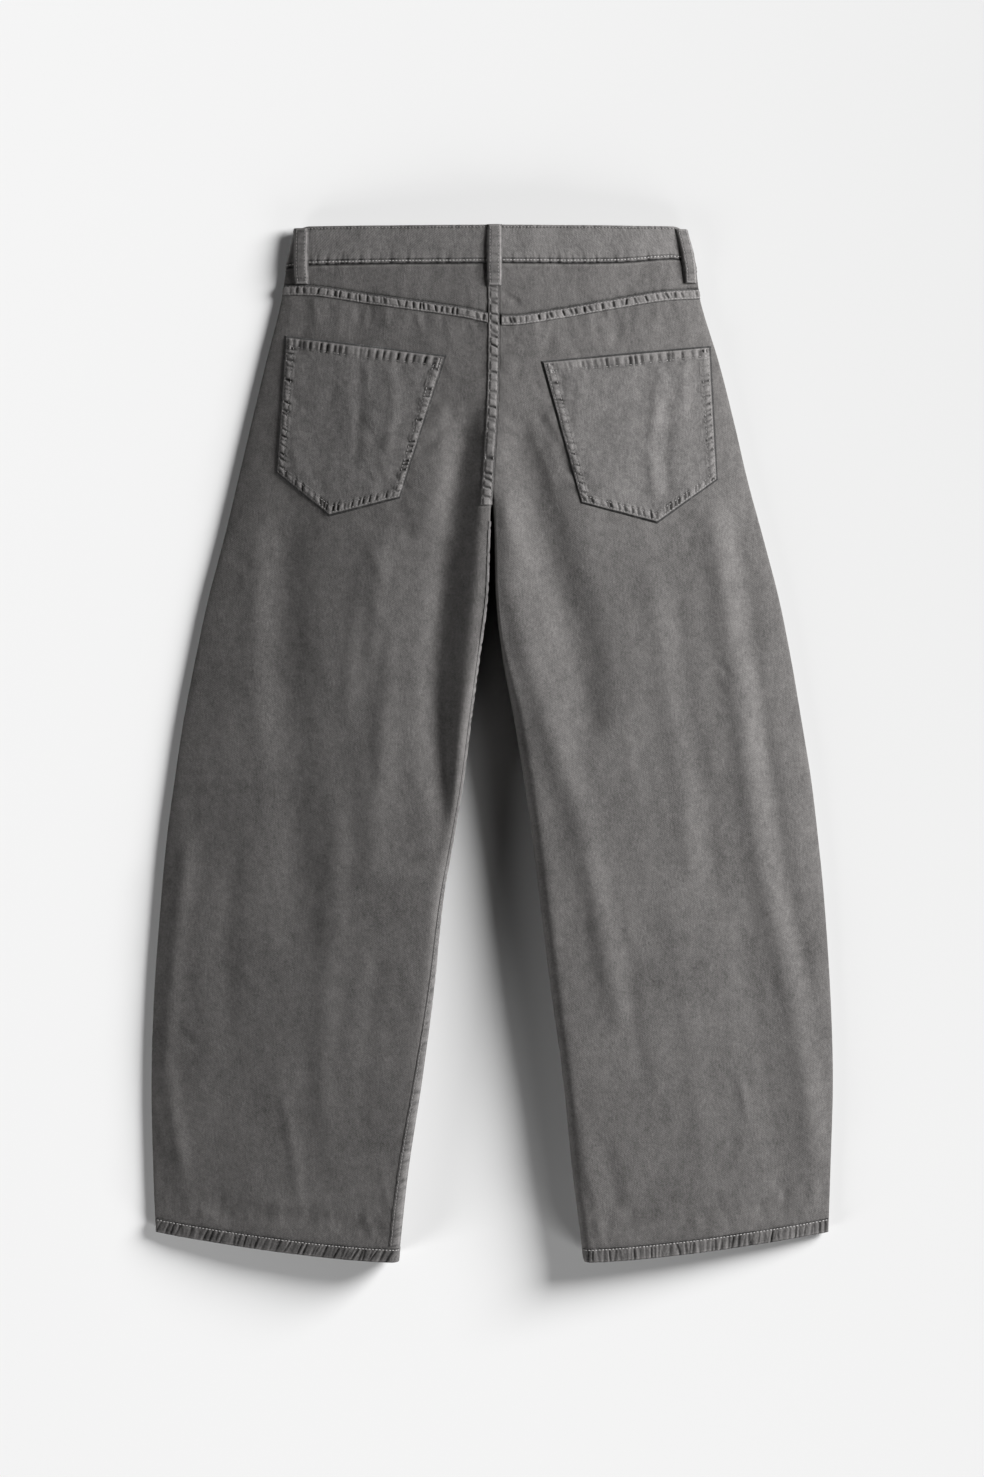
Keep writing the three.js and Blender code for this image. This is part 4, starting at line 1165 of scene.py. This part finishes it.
def belt_loop(name, face, top, length, arch, width, route, seed):
    rows = int(length / 0.8) + 1
    across = np.concatenate([[-LOOP_SHADOW_WIDTH / width], np.linspace(0.0, 1.0, 19), [1 + LOOP_SHADOW_WIDTH / width]])
    columns = len(across)
    v = np.linspace(0.0, 1.0, rows)[:, None] * np.ones((1, columns))
    u = across[None, :] * np.ones((rows, 1))
    down = top + v * length
    sign, share = route(u, down)
    point, normal = spots(face, sign, share, down)
    base = WAISTBAND_RAISE + LOOP_CLEARANCE
    crowned = np.sqrt(np.maximum(0.0, 1 - np.abs(2 * u - 1) ** 6))
    run = pucker_rise(pucker_run(length, 7.5, seed), v * length, 0.5, 0.0)
    groove = sum(hump((u - line) * width, 0.0, 0.7) for line in LOOP_STITCHES)
    low = base + arch * np.sin(np.pi * v)
    edge_in = np.minimum(v, 1 - v) * length
    flat_end = 1 - ease(1.0, 5.0, edge_in)
    lift = low + LOOP_WALL * (0.45 + 0.55 * crowned) - 0.4 * groove - 0.5 * flat_end
    lift = lift + 0.35 * (run - 0.7) * (1 - flat_end)
    # Painted shade in the stitch grooves and at the flat ends, painted highlights along both edges; the lumps
    # are partly rubbed wear, partly painted light
    wear_and_painted_light = 0.5 + 0.16 * (run - 0.8) - 0.22 * groove
    rim = np.minimum(u, 1 - u) * width
    wear_and_painted_light = wear_and_painted_light + 0.3 * hump(rim, 0.8, 0.6) - 0.1 * flat_end
    # Near-black strips on the waistband beside the loop: a painted shadow
    painted_shadow_strip = rim < -0.1
    wear_and_painted_light = np.where(painted_shadow_strip, 0.02, wear_and_painted_light)
    lift = np.where(painted_shadow_strip, WAISTBAND_RAISE + 0.6, lift)
    low = np.where(painted_shadow_strip, WAISTBAND_RAISE, low)
    uv = np.stack([u * width + seed * 50.0, -down], axis=-1)
    outer = point + normal * lift[..., None]
    inner = point + normal * (low - 0.1)[..., None]
    return sheet_mesh(name + "_cloth", outer, inner, uv, wear_and_painted_light, band_twill)


def side_route(sign, top_inset, low_inset, width, top, length):
    def route(u, down):
        signs = np.full_like(down, sign)
        inset = mix(top_inset, low_inset, (down - top) / length)
        section = section_at(signs, down)
        across = (1 - u if sign < 0 else u) * width
        return signs, 1 - (inset + across) / (section["outer"] - section["inner"])

    return route


def centred_route(x):
    def route(u, down):
        return share_at(x + (u - 0.5) * LOOP_WIDTH, down)

    return route


def side_loop(sign, top, length, width, top_inset, low_inset):
    route = side_route(sign, top_inset, low_inset, width, top, length)
    return dict(face=BACK, top=top, length=length, arch=LOOP_ARCH, width=width, route=route)


def front_loop(x, half_width):
    top = float(front_waist_top(FRONT_LOOP_X / half_width))
    return dict(face=FRONT, top=top, length=FRONT_LOOP_LENGTH, arch=FRONT_LOOP_ARCH, width=LOOP_WIDTH,
                route=centred_route(x))


LOOPS = {
    "belt_loop_back": dict(face=BACK, top=0.0, length=61.0, arch=LOOP_ARCH, width=LOOP_WIDTH,
                           route=centred_route(2.2)),
    "belt_loop_side_left": side_loop(-1.0, 2.0, 55.0, 11.5, 0.8, 12.5),
    "belt_loop_side_right": side_loop(1.0, 3.0, 53.0, 9.5, 0.3, 3.0),
    "belt_loop_front_left": front_loop(-FRONT_LOOP_X, 191.0),
    "belt_loop_front_right": front_loop(FRONT_LOOP_X, 190.0),
}


# All the stitching

def lower_waist_stitches():
    sign, share = across_both(2.0)
    down = lower_waist_seam(sign, share) - WAIST_STITCH_UP
    return row_of_stitches(*line_on(BACK, sign, share, down, WAISTBAND_RAISE + 0.25), seed=2)


def waist_stitches():
    lift = WAISTBAND_RAISE + 0.05
    sign, share = across_both(2.0)
    down = waist_top(share) + WAIST_STITCH_DOWN
    rows = row_of_stitches(*line_on(BACK, sign, share, down, lift), seed=1)
    lap = FLY_LAP / WAIST_HALF_WIDTH
    front_left = across_both(2.0, 1.0, lap)
    front_right = (np.ones(90), np.linspace(lap, 1.0, 90))
    for seed, (sign, share) in ((3, front_left), (5, front_right)):
        for k, offset in enumerate((WAIST_STITCH_DOWN, WAISTBAND_HEIGHT - FRONT_WAIST_STITCH_UP)):
            down = front_waist_top(share) + offset
            rows += row_of_stitches(*line_on(FRONT, sign, share, down, lift), seed=seed + k)
    return rows


def seam_stitches():
    rows = []
    for sign in SIDES.values():
        share = np.linspace(0.06 if sign < 0 else 0.01, 0.995, 160)
        for k, v in enumerate(YOKE_BAND_STITCHES):
            down = yoke_band_down(sign, share, v)
            rows += row_of_stitches(*line_on(BACK, sign, share, down, 0.72), seed=10 + k)
    down = np.linspace(41.0, 275.0, 160)
    for k, v in enumerate(CENTRE_BAND_STITCHES):
        share = centre_band_share(down, v)
        rows += row_of_stitches(*line_on(BACK, -1.0, share, down, 0.72), seed=16 + k)
    down = np.linspace(INSEAM_STITCHES_TOP, INSEAM_BAND_END, 200)
    share = inseam_band_share(down, INSEAM_BAND_STITCH)
    rows += row_of_stitches(*line_on(BACK, -1.0, share, down, 0.62), seed=19)
    return rows


def hem_stitches():
    rows = []
    share = np.linspace(0.006, 0.994, 160)
    for sign in SIDES.values():
        for face, edge in ((BACK, back_hem), (FRONT, front_hem)):
            down = edge(share) - HEM_HEIGHT * (1 - HEM_STITCH) + HEM_OVERHANG
            rows += row_of_stitches(*line_on(face, sign, share, down, 0.95), seed=13)
    return rows


def bar_tack(centre_point, normal, along, length, count):
    """A close row of short stitches side by side."""
    points = np.array([centre_point + along * length * (k / (count - 1) - 0.5) for k in range(count)])
    side = np.cross(normal, along)
    side /= np.linalg.norm(side)
    return [(points, np.tile(side, (count, 1)), np.tile(normal, (count, 1)), np.full(count, 1.15))]


def pocket_stitches():
    rows = []
    hem = POCKET_HEM_GROOVE / POCKET_HEIGHT
    for corners in POCKETS.values():
        for k, inset in enumerate(POCKET_GROOVES):
            a = inset / POCKET_WIDTH
            d = 1 - inset / POCKET_HEIGHT
            start = 0.012 if k == 0 else hem
            across = np.concatenate([np.full(80, a), np.linspace(a, 1 - a, 90)[1:-1], np.full(80, 1 - a)])
            depth = np.concatenate([np.linspace(start, d, 80), np.full(88, d), np.linspace(d, start, 80)])
            point, normal, _ = pocket_spots(corners, across, depth)
            rows += row_of_stitches(point + normal * 1.5, normal, seed=30 + k)
        across = np.linspace(0.012, 0.988, 90)
        point, normal, _ = pocket_spots(corners, across, np.full(90, hem))
        rows += row_of_stitches(point + normal * 1.5, normal, seed=33)
        for at in (0.03, 0.97):
            point, normal, _ = pocket_spots(corners, np.array([at, at]), np.array([0.02, 0.075]))
            along = point[1] - point[0]
            along /= np.linalg.norm(along)
            rows += bar_tack(mix(point[0], point[1], 0.5) + normal[0] * 2.0, normal[0], along, 9.0, 14)
    return rows


def loop_stitches():
    rows = []
    for loop in LOOPS.values():
        for inset in LOOP_STITCHES:
            v = np.linspace(0.04, 0.96, 60)
            down = loop["top"] + v * loop["length"]
            sign, share = loop["route"](np.full(60, inset), down)
            point, normal = spots(loop["face"], sign, share, down)
            lift = WAISTBAND_RAISE + LOOP_CLEARANCE + loop["arch"] * np.sin(np.pi * v) + LOOP_WALL * 0.86
            rows += row_of_stitches(point + normal * lift[:, None], normal, seed=50)
        for v in (0.03, 0.97):
            down = np.full(2, loop["top"] + v * loop["length"])
            sign, share = loop["route"](np.array([0.12, 0.88]), down)
            point, normal = spots(loop["face"], sign, share, down)
            lift = WAISTBAND_RAISE + LOOP_CLEARANCE + LOOP_WALL * 0.75
            along = point[1] - point[0]
            span = np.linalg.norm(along)
            centre = mix(point[0], point[1], 0.5) + normal[0] * lift
            rows += bar_tack(centre, normal[0], along / span, span, max(6, int(span / 0.75)))
    return rows


def fly_stitches():
    """The fly's J of stitches on the front, and one row beside the centre seam."""
    rows = []
    turn = np.linspace(0.05, math.pi / 2, 24)
    straight = np.linspace(60.0, FLY_STITCHES_TURN, 50)
    down = np.concatenate([straight, FLY_STITCHES_TURN + 30.0 * np.sin(turn)])
    x = np.concatenate([np.full(50, -FLY_STITCHES_IN), 4.0 - FLY_STITCHES_IN * np.cos(turn)])
    sign, share = share_at(x, down)
    rows += row_of_stitches(*line_on(FRONT, sign, share, down, 0.15), seed=61)
    down = np.linspace(58.0, 262.0, 90)
    centre = read_table(CENTRE_SEAM, "down", "x", down)
    sign, share = share_at(centre - 2.6, down)
    rows += row_of_stitches(*line_on(FRONT, sign, share, down, 0.15), seed=62)
    return rows


# Making it all

panels = main_panels()
bands = {
    "back_left": [yoke_band("left", -1.0), centre_band(), hem_band("left", -1.0, BACK, 24), inseam_band()],
    "back_right": [yoke_band("right", 1.0), hem_band("right", 1.0, BACK, 25)],
    "front_left": [hem_band("left", -1.0, FRONT, 26)],
    "front_right": [hem_band("right", 1.0, FRONT, 27)],
}
for name, piece in panels.items():
    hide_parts(name)
waist_pieces = waistbands()
for name, piece in waist_pieces.items():
    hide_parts(name)
for number, (name, corners) in enumerate(POCKETS.items()):
    pocket(name, corners, 60 + number * 7)
    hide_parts(name)
loop_pieces = {}
for number, (name, loop) in enumerate(LOOPS.items()):
    loop_pieces[name] = belt_loop(name, seed=80 + number, **loop)
    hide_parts(name)

stitches("stitches_waistband", waist_stitches(), thread)
stitches("stitches_waist_seam", lower_waist_stitches(), pale_thread)
stitches("stitches_seams", seam_stitches(), thread)
stitches("stitches_hems", hem_stitches(), pale_thread)
stitches("stitches_pockets", pocket_stitches(), thread)
stitches("stitches_loops", loop_stitches(), thread)
stitches("stitches_fly", fly_stitches(), thread)

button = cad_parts["button"]
for material_slot in button.material_slots:
    material_slot.material = button_metal

for name, piece in loop_pieces.items():
    loop = LOOPS[name]


# The surface, the light and the camera

def add_floor():
    mesh = bpy.data.meshes.new("floor")
    half = FLOOR_HALF_WIDTH
    corners = [(-half, -half, 0), (half, -half, 0), (half, half, 0), (-half, half, 0)]
    mesh.from_pydata(corners, [], [(0, 1, 2, 3)])
    mesh.materials.append(floor_material())
    floor = bpy.data.objects.new("floor", mesh)
    floor.location.z = -FLOOR_DROP
    bpy.context.collection.objects.link(floor)


def add_lamps():
    """A strong soft lamp at the upper right, and weaker ones at the lower left and lower right."""
    for name, settings in LAMPS.items():
        light = bpy.data.lights.new(name, "AREA")
        light.shape = "DISK"
        light.size = settings["size"]
        light.energy = settings["watts"]
        holder = bpy.data.objects.new(name, light)
        holder.location = settings["place"]
        holder.rotation_euler = settings["towards"].to_track_quat("Z", "Y").to_euler()
        holder.visible_camera = False
        bpy.context.collection.objects.link(holder)


def add_camera():
    camera = bpy.data.cameras.new("camera")
    camera.type = "PERSP"
    camera.lens = 85.0
    camera.sensor_width = 36.0
    holder = bpy.data.objects.new("camera", camera)
    holder.location = (-0.0002, 0.0044, 3.438)
    holder.rotation_euler = (0.0, 0.0, 0.0)
    bpy.context.collection.objects.link(holder)
    bpy.context.scene.camera = holder


def set_world(strength):
    world = bpy.data.worlds.new("studio")
    world.use_nodes = True
    background = world.node_tree.nodes["Background"]
    background.inputs["Color"].default_value = (1.0, 1.0, 1.0, 1.0)
    background.inputs["Strength"].default_value = strength
    bpy.context.scene.world = world


add_floor()
add_lamps()
add_camera()
set_world(WORLD_STRENGTH)
bpy.context.scene.view_settings.view_transform = "Standard"
